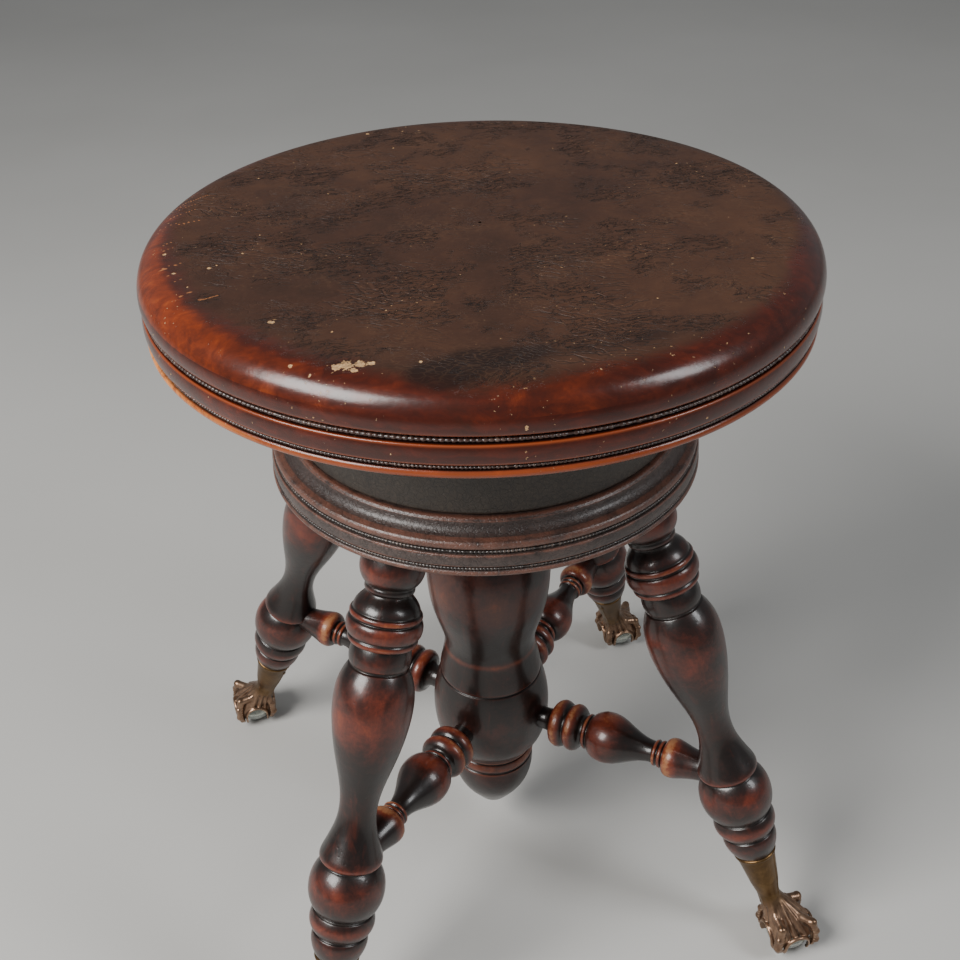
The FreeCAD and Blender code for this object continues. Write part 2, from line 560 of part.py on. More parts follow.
# The iron spider: four arms with lugs, and a hub below for the screw.
body = new_body("seat_spider")
items = []
sketch = new_sketch(body, "spider_hub_outline")
circle(sketch, items, 0, "sizes.spider_hub_radius", D["spider_hub_radius"])
constrain(sketch, items)
pad(body, "spider_hub", sketch, "spider_hub_length")
sketch = new_sketch(body, "spider_arm_outline")
half, reach = D["spider_arm_width"] / 2.0, D["spider_screw_circle"]
tip = D["spider_lug_radius"]
sketch.addGeometry([Part.LineSegment(V3(0, -half, 0), V3(reach, -tip, 0)),
                    Part.ArcOfCircle(Part.Circle(V3(reach, 0, 0), UP, tip), -math.pi / 2, math.pi / 2),
                    Part.LineSegment(V3(reach, tip, 0), V3(0, half, 0)),
                    Part.LineSegment(V3(0, half, 0), V3(0, -half, 0))], False)
constrain(sketch, [
    (Sketcher.Constraint("Coincident", 0, 2, 1, 1), None, None),
    (Sketcher.Constraint("Coincident", 1, 2, 2, 1), None, None),
    (Sketcher.Constraint("Coincident", 2, 2, 3, 1), None, None),
    (Sketcher.Constraint("Coincident", 3, 2, 0, 1), None, None),
    (Sketcher.Constraint("PointOnObject", 3, 1, -2), None, None),
    (Sketcher.Constraint("PointOnObject", 3, 2, -2), None, None),
    (Sketcher.Constraint("PointOnObject", 1, 3, -1), None, None),
    (Sketcher.Constraint("DistanceX", -1, 1, 1, 3, reach), "reach", "sizes.spider_screw_circle"),
    (Sketcher.Constraint("Radius", 1, tip), "lug", "sizes.spider_lug_radius"),
    (Sketcher.Constraint("DistanceY", -1, 1, 3, 1, half), "upper", "sizes.spider_arm_width / 2"),
    (Sketcher.Constraint("DistanceY", 3, 2, -1, 1, half), "lower", "sizes.spider_arm_width / 2"),
    (Sketcher.Constraint("Vertical", 1, 1, 1, 2), None, None),
])
sketch.AttachmentOffset = lift_to(D["spider_hub_length"] - D["spider_arm_thickness"])
arm = pad(body, "spider_arm", sketch, "spider_arm_thickness")
arm_hole = cut_round(body, "spider_arm_hole", "spider_screw_hole_radius", "spider_hub_length",
                     V3(reach, 0, 0))
sink = body.newObject("PartDesign::SubtractiveCone", "spider_countersink")
bind(sink, Radius1="screw_head_radius", Radius2="spider_screw_hole_radius", Height="screw_head_height")
sink.Placement = FreeCAD.Placement(V3(reach, 0, D["spider_hub_length"] - D["spider_arm_thickness"]),
                                   FreeCAD.Rotation())
doc.recompute()
repeat(body, "spider_arms", [arm, arm_hole, sink])
bore = cut_round(body, "spider_bore", "spider_bore_radius", "spider_hub_length", V3(0, 0, 0))
spider_level = D["seat_bottom_level"] - D["spider_hub_length"]
cross = cut_round(body, "spider_pin_hole", "pin_radius", "sizes.spider_hub_radius * 2.4",
                  V3(0, -D["spider_hub_radius"] * 1.2, D["pin_level"] - spider_level), V3(0, 1, 0))
body.Tip = cross
node(body, "seat_spider", lift_to(spider_level))

# ------------------------------------------------------- screw and nut ------
def trapezium(body, name, r_in, r_out, w_in, w_out, z, exprs):
    sketch = new_sketch(body, name, "XZ_Plane")
    p = [V3(r_in, z - w_in / 2, 0), V3(r_out, z - w_out / 2, 0),
         V3(r_out, z + w_out / 2, 0), V3(r_in, z + w_in / 2, 0)]
    sketch.addGeometry([Part.LineSegment(p[i], p[(i + 1) % 4]) for i in range(4)], False)
    e_in, e_out, e_win, e_wout, e_z = exprs
    constrain(sketch, [(Sketcher.Constraint("Coincident", i, 2, (i + 1) % 4, 1), None, None)
                       for i in range(4)] + [
        (Sketcher.Constraint("DistanceX", -1, 1, 0, 1, r_in), "inner", e_in),
        (Sketcher.Constraint("DistanceX", -1, 1, 0, 2, r_out), "outer", e_out),
        (Sketcher.Constraint("Vertical", 1), None, None),
        (Sketcher.Constraint("Vertical", 3), None, None),
        (Sketcher.Constraint("DistanceY", 3, 2, 3, 1, w_in), "wide", e_win),
        (Sketcher.Constraint("DistanceY", 1, 1, 1, 2, w_out), "narrow", e_wout),
        (Sketcher.Constraint("DistanceY", -1, 1, 0, 1, z - w_in / 2), "low", "%s - (%s) / 2" % (e_z, e_win)),
        (Sketcher.Constraint("DistanceY", -1, 1, 0, 2, z - w_out / 2), "lowtip", "%s - (%s) / 2" % (e_z, e_wout)),
    ])
    return sketch


def helix(body, kind, name, sketch, height_expr):
    feat = body.newObject("PartDesign::" + kind, name)
    feat.Profile = sketch
    feat.ReferenceAxis = (sketch, ["V_Axis"])
    feat.Mode = 0
    feat.Pitch = D["thread_pitch"]
    feat.Height = D["thread_length"]
    feat.Angle = 0
    feat.LeftHanded = False
    feat.Reversed = False
    bind(feat, Pitch="thread_pitch", Height=height_expr)
    doc.recompute()
    return feat


# The lift screw, measured up from the bottom of its tail: tail, threaded part
# and plain shank.  The thread is a coarse right-hand one, so the seat rises as
# it turns anticlockwise seen from above.
screw_level = D["thread_bottom_level"] - D["screw_tail_length"]
tail, core_len, shank = D["screw_tail_length"], D["screw_core_length"], D["screw_shank_length"]
body = new_body("lift_screw")
sketch = new_sketch(body, "screw_blank", "XZ_Plane")
rt, rc, rs = D["screw_tail_radius"], D["thread_root_radius"], D["screw_shank_radius"]
pts = [V3(0, 0, 0), V3(rt, 0, 0), V3(rt, tail, 0), V3(rc, tail, 0), V3(rc, tail + core_len, 0),
       V3(rs, tail + core_len, 0), V3(rs, tail + core_len + shank, 0), V3(0, tail + core_len + shank, 0)]
sketch.addGeometry([Part.LineSegment(pts[i], pts[(i + 1) % 8]) for i in range(8)], False)
items = [(Sketcher.Constraint("Coincident", i, 2, (i + 1) % 8, 1), None, None) for i in range(8)]
items += [(Sketcher.Constraint("Coincident", 0, 1, -1, 1), None, None),
          (Sketcher.Constraint("PointOnObject", 7, 1, -2), None, None)]
items += [(Sketcher.Constraint("Horizontal", i), None, None) for i in (0, 2, 4, 6)]
items += [(Sketcher.Constraint("Vertical", i), None, None) for i in (1, 3, 5)]
items += [(Sketcher.Constraint("DistanceX", -1, 1, 1, 1, rt), "tail", "sizes.screw_tail_radius"),
          (Sketcher.Constraint("DistanceX", -1, 1, 3, 1, rc), "core", "sizes.thread_root_radius"),
          (Sketcher.Constraint("DistanceX", -1, 1, 5, 1, rs), "shank", "sizes.screw_shank_radius"),
          (Sketcher.Constraint("DistanceY", 1, 1, 1, 2, tail), "taillen", "sizes.screw_tail_length"),
          (Sketcher.Constraint("DistanceY", 3, 1, 3, 2, core_len), "corelen", "sizes.screw_core_length"),
          (Sketcher.Constraint("DistanceY", 5, 1, 5, 2, shank), "shanklen", "sizes.screw_shank_length")]
constrain(sketch, items)
rev = body.newObject("PartDesign::Revolution", "screw_turning")
rev.Profile = sketch
rev.ReferenceAxis = (sketch, ["V_Axis"])
rev.Angle = 360
doc.recompute()
start = tail + D["thread_pitch"] / 2.0
prof = trapezium(body, "thread_section", rc - 0.4, D["thread_outer_radius"],
                 D["thread_root_width"], D["thread_crest_width"], start,
                 ("sizes.thread_root_radius - 0.4", "sizes.thread_outer_radius",
                  "sizes.thread_root_width", "sizes.thread_crest_width",
                  "(sizes.screw_tail_length + sizes.thread_pitch / 2)"))
helix(body, "AdditiveHelix", "screw_thread", prof, "thread_length")
pin_hole = cut_round(body, "screw_pin_hole", "pin_radius", "sizes.screw_shank_radius * 2.4",
                     V3(0, -rs * 1.2, D["pin_level"] - screw_level), V3(0, 1, 0))
tail_hole = cut_round(body, "screw_tail_hole", "stop_pin_radius", "sizes.screw_tail_radius * 2.4",
                      V3(0, -rt * 1.2, D["stop_pin_level"] - screw_level), V3(0, 1, 0))
body.Tip = tail_hole
node(body, "lift_screw", lift_to(screw_level))

# The iron nut: a flanged barrel, threaded to mesh with the screw.  Its thread
# starts a whole number of turns from the screw's, so the two are in step.
nut_level = D["nut_flange_level"] - D["nut_barrel_length"]
body = new_body("nut_flange")
sketch = new_sketch(body, "nut_barrel_outline")
items = []
circle(sketch, items, 0, "sizes.nut_barrel_radius", D["nut_barrel_radius"])
constrain(sketch, items)
pad(body, "nut_barrel", sketch, "sizes.nut_barrel_length + 0.5")
sketch = new_sketch(body, "nut_flange_outline")
items = []
circle(sketch, items, 0, "sizes.nut_flange_radius", D["nut_flange_radius"])
constrain(sketch, items)
sketch.AttachmentOffset = lift_to(D["nut_barrel_length"])
pad(body, "nut_flange_plate", sketch, "nut_flange_thickness")
bore = cut_round(body, "nut_bore", "nut_bore_radius", "sizes.nut_barrel_length + sizes.nut_flange_thickness",
                 V3(0, 0, 0))
hole = cut_round(body, "nut_screw_hole", "nut_screw_hole_radius",
                 "sizes.nut_barrel_length + sizes.nut_flange_thickness",
                 V3(D["nut_screw_circle"], 0, 0))
sink = body.newObject("PartDesign::SubtractiveCone", "nut_countersink")
bind(sink, Radius1="nut_screw_hole_radius", Radius2="screw_head_radius", Height="screw_head_height")
sink.Placement = FreeCAD.Placement(
    V3(D["nut_screw_circle"], 0, D["nut_barrel_length"] + D["nut_flange_thickness"] - D["screw_head_height"]),
    FreeCAD.Rotation())
doc.recompute()
repeat(body, "nut_screw_holes", [hole, sink])
below = nut_level - (screw_level + start)
turns = math.floor(below / D["thread_pitch"]) - 1
nut_start = screw_level + start + turns * D["thread_pitch"] - nut_level
prof = trapezium(body, "nut_thread_section", D["nut_bore_radius"] - 0.5, D["nut_groove_radius"],
                 D["nut_tooth_gap_root"], D["nut_tooth_gap_tip"], nut_start,
                 ("sizes.nut_bore_radius - 0.5", "sizes.nut_groove_radius",
                  "sizes.nut_tooth_gap_root", "sizes.nut_tooth_gap_tip",
                  "(%r)" % nut_start))
helix(body, "SubtractiveHelix", "nut_thread", prof, "sizes.thread_pitch * 13")
node(body, "nut_flange", lift_to(nut_level))

# Plain round pieces of the lift.
pin = primitive("Cylinder", "spider_pin", Radius="pin_radius", Height="pin_length")
node(place(pin, V3(0, -D["pin_length"] / 2, D["pin_level"]), V3(0, 1, 0)), "spider_pin")
body = ring_body("stop_washer", "stop_washer_radius", "stop_washer_bore_radius", "stop_washer_thickness")
node(body, "stop_washer", lift_to(D["thread_bottom_level"] - 0.4 - D["stop_washer_thickness"]))
pin = primitive("Cylinder", "stop_pin", Radius="stop_pin_radius", Height="stop_pin_length")
node(place(pin, V3(0, -D["stop_pin_length"] / 2, D["stop_pin_level"]), V3(0, 1, 0)), "stop_pin")


# Slotted wood screws.  A screw is modelled with its head's top at the origin
# and its point up, then set head down or head up where it belongs.
def wood_screw(name, length, countersunk):
    if countersunk:
        head = primitive("Cone", name + "_head", Radius1="screw_head_radius",
                         Radius2="screw_shaft_radius", Height="screw_head_height")
    else:
        head = primitive("Cylinder", name + "_head", Radius="screw_head_radius",
                         Height="screw_head_height")
    shaft = primitive("Cylinder", name + "_shaft", Radius="screw_shaft_radius",
                      Height="sizes.%s - 5" % length)
    point = primitive("Cone", name + "_point", Radius1="screw_shaft_radius", Radius2=0.4, Height=5.0)
    place(point, V3(0, 0, D[length] - 5))
    blank = fuse(name + "_blank", [head, shaft, point])
    slot = primitive("Box", name + "_slot", Length="sizes.screw_head_radius * 2.4",
                     Width="screw_slot_width", Height="sizes.screw_slot_depth + 1")
    place(slot, V3(-D["screw_head_radius"] * 1.2, -D["screw_slot_width"] / 2, -1.0))
    return cut(name + "_screw", blank, slot)


def screw_group(label, length, countersunk, circle_radius, level, heads_up, first_angle):
    screws = []
    for k in range(4):
        a = math.radians(first_angle + 90 * k)
        s = wood_screw("%s_%d" % (label, k), length, countersunk)
        turn = FreeCAD.Rotation(V3(1, 0, 0), 180) if heads_up else FreeCAD.Rotation()
        spin = FreeCAD.Rotation(UP, 25 + 37 * k)
        s.Placement = FreeCAD.Placement(V3(circle_radius * math.cos(a), circle_radius * math.sin(a), level),
                                        spin.multiply(turn))
        screws.append(s)
    group = doc.addObject("Part::Compound", label)
    group.Links = screws
    doc.recompute()
    return node(group, label)


screw_group("spider_screws", "spider_screw_length", True, D["spider_screw_circle"],
            D["seat_bottom_level"] - D["spider_arm_thickness"], False, 0.0)
screw_group("collar_screws", "collar_screw_length", False, D["collar_screw_circle"],
            collar_level + D["collar_screw_well_depth"] - D["screw_head_height"], False, 45.0)
screw_group("nut_screws", "nut_screw_length", True, D["nut_screw_circle"],
            D["nut_flange_level"] + D["nut_flange_thickness"], True, 0.0)

# ------------------------------------------------------- cap and column -----
splay = math.radians(D["leg_splay_angle"])
down_leg = V3(math.sin(splay), 0, -math.cos(splay))
up_leg = V3(-math.sin(splay), 0, math.cos(splay))


def on_leg(s):
    """Point on a leg's axis, s below the cap's underside, in the leg's plane."""
    return V3(D["leg_top_radius_on_cap"] + math.sin(splay) * s, 0,
              D["cap_bottom_level"] - math.cos(splay) * s)


def swing(vec, degrees):
    return FreeCAD.Rotation(UP, degrees).multVec(vec)


body = turning("base_cap", "cap", CAP)
cut_round(body, "nut_recess", "cap_recess_radius", "cap_recess_depth",
          V3(0, 0, D["cap_height"] - D["cap_recess_depth"]))
cut_round(body, "nut_hole", "cap_nut_hole_radius", "sizes.cap_recess_depth + 30", V3(0, 0, 0))
cut_round(body, "column_tenon_hole", "cap_tenon_hole_radius", "cap_tenon_hole_depth", V3(0, 0, 0))
screw_hole = cut_round(body, "nut_screw_pilot", "screw_shaft_radius", "nut_screw_length",
                       V3(D["nut_screw_circle"], 0,
                          D["nut_flange_level"] + D["nut_flange_thickness"]
                          - D["nut_screw_length"] - 0.3 - D["cap_bottom_level"]))
repeat(body, "nut_screw_pilots", [screw_hole])
low = swing(on_leg(20.0), 45).sub(V3(0, 0, D["cap_bottom_level"]))
upward = swing(up_leg, 45)
socket = cut_round(body, "leg_socket", "leg_socket_radius", "sizes.leg_socket_depth + 20", low, upward)
tenon = cut_round(body, "leg_tenon_hole", "leg_tenon_hole_radius", "sizes.leg_tenon_hole_depth + 20", low, upward)
repeat(body, "leg_holes", [socket, tenon])
node(body, "base_cap", lift_to(D["cap_bottom_level"]))

rise = math.radians(D["stretcher_rise_angle"])
along = V3(math.cos(rise), 0, math.sin(rise))


def on_stretcher(t):
    return V3(math.cos(rise) * t, 0, D["stretcher_axis_level"] + math.sin(rise) * t)


body = turning("centre_column", "column", COLUMN)
base = D["column_bottom_level"]
cut_round(body, "column_top_bore", "column_top_bore_radius", "sizes.cap_bottom_level",
          V3(0, 0, D["column_top_bore_bottom"] - base))
cut_round(body, "column_bore", "column_bore_radius", "sizes.cap_bottom_level",
          V3(0, 0, D["column_bore_bottom"] - base))
mortise = cut_round(body, "stretcher_mortise", "stretcher_hole_radius", "sizes.stretcher_hole_bottom * 2",
                    swing(on_stretcher(D["stretcher_hole_bottom"]), 45).sub(V3(0, 0, base)),
                    swing(along, 45))
repeat(body, "stretcher_mortises", [mortise])
node(body, "centre_column", lift_to(base))

# --------------------------------------------------- legs and stretchers ----
# A leg is turned about its own Z axis, which points up the leg; its X axis
# points away from the stool's middle.  One blind hole takes the stretcher's
# end and a thin one the foot's pin.
foot_of_leg = on_leg(D["leg_frame_length"])
leg_turn = FreeCAD.Rotation(V3(0, 1, 0), -D["leg_splay_angle"])
to_leg = FreeCAD.Placement(foot_of_leg, leg_turn).inverse()
body = turning("turned_leg", "leg", LEG)
for part_name, radius, stop in (("stretcher_socket", "stretcher_end_hole_radius", "stretcher_end_hole_start"),
                                ("stretcher_tenon_hole", "stretcher_tenon_hole_radius",
                                 "stretcher_tenon_hole_start")):
    end = to_leg.multVec(on_stretcher(D[stop]))
    back = to_leg.Rotation.multVec(V3(-along.x, 0, -along.z))
    cut_round(body, part_name, radius, "sizes.%s - 130" % stop, end, back)
cut_round(body, "leg_pin_hole", "foot_pin_hole_radius", "foot_pin_length",
          V3(-1.9 - D["foot_pin_length"], 0, D["foot_pin_position"]), V3(1, 0, 0))
body.Placement = FreeCAD.Placement(foot_of_leg, leg_turn)
at_corners(body, "leg")

lay = FreeCAD.Rotation(V3(0, 1, 0), 90.0 - D["stretcher_rise_angle"])
body = turning("turned_stretcher", "stretcher", STRETCHER)
body.Placement = FreeCAD.Placement(on_stretcher(0.0), lay)
at_corners(body, "stretcher")

# ------------------------------------------------- claw feet and balls ------
# A claw foot is one casting, drawn in the plane of its leg: a ferrule that
# the leg's end drops into, a slim ankle, and a palm that closes over the ball
# with four talons.  Four arches between the talons show the glass.
ball = V3(D["ball_circle_radius"], 0, D["ball_level"])


def claw_foot():
    n = "claw"
    top = on_leg(D["leg_frame_length"] - D["ferrule_upper_length"])
    mid = on_leg(D["leg_frame_length"])
    ankle = on_leg(D["leg_frame_length"] + D["ankle_length"])
    upper = place(primitive("Cone", n + "_ferrule", Radius1="ferrule_middle_radius",
                            Radius2="ferrule_top_radius", Height="ferrule_upper_length"), mid, up_leg)
    lip = place(primitive("Cylinder", n + "_lip", Radius="ferrule_lip_radius", Height="ferrule_lip_height"),
                top.sub(V3(up_leg.x, 0, up_leg.z).multiply(D["ferrule_lip_height"])), up_leg)
    lower = place(primitive("Cone", n + "_ankle", Radius1="ankle_radius",
                            Radius2="ferrule_middle_radius", Height="ankle_length"), ankle, up_leg)
    joint = place(primitive("Sphere", n + "_ankle_ball", Radius="ankle_radius"), ankle)
    toward = ball.sub(ankle)
    toward.normalize()
    palm = place(primitive("Cone", n + "_palm", Radius1="ankle_radius", Radius2="palm_cone_radius",
                           Height="palm_cone_length"), ankle, toward)
    cup = place(primitive("Sphere", n + "_cup", Radius="palm_radius"), ball)
    pieces = [upper, lip, lower, joint, palm, cup]
    turn = D["claw_turn_angle"]
    for k in range(4):
        a = math.radians(turn + 90 * k)
        out = V3(math.cos(a), math.sin(a), 0)
        knuckle = primitive("Sphere", "%s_knuckle_%d" % (n, k), Radius="knuckle_radius")
        place(knuckle, ball.add(V3(out.x, out.y, 0).multiply(D["knuckle_circle_radius"]))
              .add(V3(0, 0, D["knuckle_level"] - D["ball_level"])))
        nail = primitive("Sphere", "%s_nail_%d" % (n, k), Radius="claw_tip_radius")
        place(nail, ball.add(V3(out.x, out.y, 0).multiply(D["claw_tip_circle_radius"]))
              .add(V3(0, 0, D["claw_tip_level"] - D["ball_level"])))
        talon = primitive("Cone", "%s_talon_%d" % (n, k), Radius1="talon_lower_radius",
                          Radius2="talon_upper_radius", Height="talon_length")
        place(talon, nail.Placement.Base, knuckle.Placement.Base.sub(nail.Placement.Base))
        pieces += [knuckle, nail, talon]
    blank = fuse(n + "_blank", pieces)
    tools = [place(primitive("Sphere", n + "_seat", Radius="ball_seat_radius"), ball)]
    for k in range(4):
        a = math.radians(turn + 45 + 90 * k)
        out = V3(math.cos(a), math.sin(a), 0)
        arch = primitive("Cylinder", "%s_arch_%d" % (n, k), Radius="claw_arch_radius", Height=40.0)
        place(arch, V3(ball.x, ball.y, D["claw_arch_level"]), out)
        tools.append(arch)
    ground = primitive("Box", n + "_ground", Length=120.0, Width=120.0, Height="sizes.claw_bottom_level + 30")
    place(ground, V3(ball.x - 60, -60, -30))
    tools.append(ground)
    lower_end = on_leg(D["leg_frame_length"] - D["ferrule_upper_length"] + D["foot_socket_depth"])
    socket = place(primitive("Cone", n + "_socket", Radius1="foot_socket_bottom_radius",
                             Radius2="foot_socket_top_radius", Height="foot_socket_depth"),
                   lower_end, up_leg)
    tools.append(socket)
    inward = leg_turn.multVec(V3(1, 0, 0))
    pin_start = FreeCAD.Placement(foot_of_leg, leg_turn).multVec(V3(-20.0, 0, D["foot_pin_position"]))
    pin_hole = place(primitive("Cylinder", n + "_pin_hole", Radius="foot_pin_hole_radius", Height=20.0),
                     pin_start, inward)
    tools.append(pin_hole)
    foot = cut(n + "_casting", blank, fuse(n + "_tools", tools))
    doc.recompute()
    return foot


at_corners(claw_foot(), "claw_foot")

# The glass balls rest on the floor on tiny ground flats.
whole = place(primitive("Sphere", "ball_whole", Radius="ball_radius"), ball)
below = place(primitive("Box", "ball_below", Length=60.0, Width=60.0, Height=30.0),
              V3(ball.x - 30, -30, -30))
at_corners(cut("ball_glass", whole, below), "glass_ball")

# A small pin through the inner side of each ferrule holds the foot on.
pins = []
for corner, angle in CORNERS:
    pin = primitive("Cylinder", "foot_pin_" + corner, Radius="foot_pin_radius", Height="foot_pin_length")
    at = FreeCAD.Placement(foot_of_leg, leg_turn).multVec(
        V3(-2.0 - D["foot_pin_length"], 0, D["foot_pin_position"]))
    place(pin, at, leg_turn.multVec(V3(1, 0, 0)))
    pin.Placement = FreeCAD.Placement(V3(), FreeCAD.Rotation(UP, angle)).multiply(pin.Placement)
    pins.append(pin)
group = doc.addObject("Part::Compound", "foot_pins")
group.Links = pins
doc.recompute()
node(group, "foot_pins")

# --------------------------------------------------------------- writing ----
doc.recompute()
bad = [o.Name for o in doc.Objects if "Invalid" in o.State or "Error" in o.State]
if bad:
    raise RuntimeError("objects that failed: " + ", ".join(bad))
for obj in NODES:
    shape = obj.Shape
    if shape.isNull() or not shape.isValid() or not shape.Solids:
        raise RuntimeError(obj.Label + " has no valid shape")
    if min(s.Volume for s in shape.Solids) <= 0:
        raise RuntimeError(obj.Label + " has a solid with no volume")
for obj in NODES:
    obj.Shape.exportStep("parts/%s.step" % obj.Label)
    box = obj.Shape.BoundBox
    print("%-26s solids %d  volume %10.1f  x %.1f..%.1f y %.1f..%.1f z %.2f..%.2f" % (
        obj.Label, len(obj.Shape.Solids), obj.Shape.Volume,
        box.XMin, box.XMax, box.YMin, box.YMax, box.ZMin, box.ZMax))
print("nodes:", len(NODES))
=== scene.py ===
import math

import bpy
import numpy as np
from mathutils import Matrix, Vector


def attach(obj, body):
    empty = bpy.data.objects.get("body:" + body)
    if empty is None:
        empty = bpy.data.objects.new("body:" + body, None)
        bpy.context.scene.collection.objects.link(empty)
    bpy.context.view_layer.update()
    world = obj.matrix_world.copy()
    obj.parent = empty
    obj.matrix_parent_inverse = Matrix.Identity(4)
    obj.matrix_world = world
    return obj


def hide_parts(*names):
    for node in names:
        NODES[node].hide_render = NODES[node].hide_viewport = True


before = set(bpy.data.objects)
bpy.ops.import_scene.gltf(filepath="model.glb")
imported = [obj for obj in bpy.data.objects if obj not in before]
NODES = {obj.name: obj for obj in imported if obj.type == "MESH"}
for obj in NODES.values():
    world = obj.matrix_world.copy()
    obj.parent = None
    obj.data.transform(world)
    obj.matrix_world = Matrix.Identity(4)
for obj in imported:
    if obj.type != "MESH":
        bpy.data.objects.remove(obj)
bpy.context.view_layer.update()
MM = 0.001

# ---------------------------------------------------------------------------
# turned outlines, in millimetres: radius, distance along the axis, arc radius
# ---------------------------------------------------------------------------
LEG = [
    (0, 3.5, 0), (6.6, 3.5, 0), (7.3, 4.5, 0), (9.5, 25.3, 0),
    (12.5, 25.3, 12.24), (13.42, 26.6, 20.46), (14.2, 28, 24.26), (15.28, 30.45, 27.08),
    (16.1, 33, 22.38), (16.58, 35.23, 13.74), (16.75, 37.5, 11.29), (16.59, 39.33, 9.21),
    (16.1, 41.1, 0), (15.2, 41.7, 0), (15.2, 42.7, 0), (16.4, 43.1, 9.66),
    (17.28, 44.2, 11.84), (18, 45.4, 11.88), (18.78, 47.25, 9.99), (19.2, 49.2, 10.06),
    (19.23, 51.21, 13.29), (18.9, 53.2, 14.34), (18.47, 54.63, 14.08), (17.9, 56, 0),
    (16.9, 56.6, 0), (16.9, 57.4, 0), (17.7, 57.8, 11.22), (18.91, 59.32, 16.91),
    (19.9, 61, 19.98), (21.03, 63.69, 24.06), (21.8, 66.5, 23.9), (22.23, 69.48, 27.6),
    (22.3, 72.5, 28.43), (22.01, 75.78, 23.38), (21.3, 79, 23.63), (20.27, 81.82, 26.33),
    (18.9, 84.5, 25.23), (17.96, 85.99, 19.71), (16.9, 87.4, 0), (16.2, 88, 0),
    (16.2, 88.9, 0), (17.2, 89.2, 2.59), (17.91, 89.89, 2.41), (18.3, 90.8, 3.62),
    (18.33, 92, 11.04), (18.1, 93.2, 19.09), (17.5, 95.12, 278.61), (16.8, 97, -212.28),
    (15.52, 100.49, -179.87), (14.3, 104, -117.67), (12.9, 108.46, -52.11), (11.8, 113, -46.58),
    (11.15, 117.48, -53.51), (10.9, 122, -56.04), (11.03, 126.51, -62.57), (11.5, 131, -74.97),
    (12.5, 136.53, -155.07), (13.8, 142, -345.02), (15.96, 150, 275.58), (18.1, 158, 190.46),
    (20.02, 166.46, 149.94), (21.5, 175, 123.57), (22.3, 181.98, 81.43), (22.6, 189, 65.13),
    (22.36, 194.54, 39.15), (21.5, 200, 36.64), (20.4, 203.82, 39.37), (18.9, 207.5, 37.72),
    (17.96, 209.38, 30.72), (16.9, 211.2, 0), (15.9, 211.7, 0), (15.9, 212.9, 0),
    (16.6, 213.2, 11.85), (17.09, 215.07, 15.91), (17.3, 217, 18.38), (17.27, 219.26, 23.28),
    (17, 221.5, 24.83), (16.58, 223.47, 25.17), (16, 225.4, 0), (18.5, 226, 3.98),
    (19.13, 226.73, 2.59), (19.5, 227.6, 2.56), (19.54, 228.51, 3.76), (19.3, 229.4, 0),
    (18.9, 229.8, 0), (18.9, 230.5, 0), (19.7, 230.7, 4.78), (20.42, 231.68, 6.07),
    (20.9, 232.8, 7.75), (21.2, 234.18, 13.94), (21.3, 235.6, 13.95), (21.26, 237.01, 6.97),
    (21, 238.4, 5.14), (20.61, 239.36, 3.64), (20, 240.2, 0), (19.3, 240.6, 0),
    (19.3, 241.1, 0), (19.6, 241.3, 1.69), (20.05, 241.93, 2.09), (20.2, 242.7, 2.57),
    (20.1, 243.43, 2.6), (19.8, 244.1, 2.21), (19.54, 244.44, 1.39), (19.2, 244.7, 0),
    (18.7, 245.1, 8.1), (18.44, 246.37, 10.39), (18, 247.6, 11.76), (17.28, 249, 14.37),
    (16.4, 250.3, 18.08), (15.38, 251.52, 185.33), (14.3, 252.7, -45.96), (13.56, 253.52, -6.81),
    (12.9, 254.4, -4.18), (12.66, 254.83, -2.27), (12.5, 255.3, 0), (13.2, 255.8, 4.3),
    (13.67, 256.66, 3.16), (13.9, 257.6, 3.17), (13.83, 258.57, 4.33), (13.5, 259.5, 0),
    (14, 260.1, 11.36), (15.14, 261.38, 13.56), (16.1, 262.8, 14.1), (16.98, 264.6, 13.64),
    (17.6, 266.5, 13.64), (17.93, 268.49, 17.42), (18, 270.5, 22.38), (17.83, 272.76, 53.09),
    (17.5, 275, 72.28), (17.13, 277.01, 61.68), (16.7, 279, 56.91), (16.3, 280.61, 48.41),
    (15.85, 282.2, 0), (15.85, 295, 0), (11, 295, 0), (11, 308, 0),
    (10, 309, 0), (0, 309, 0),
]
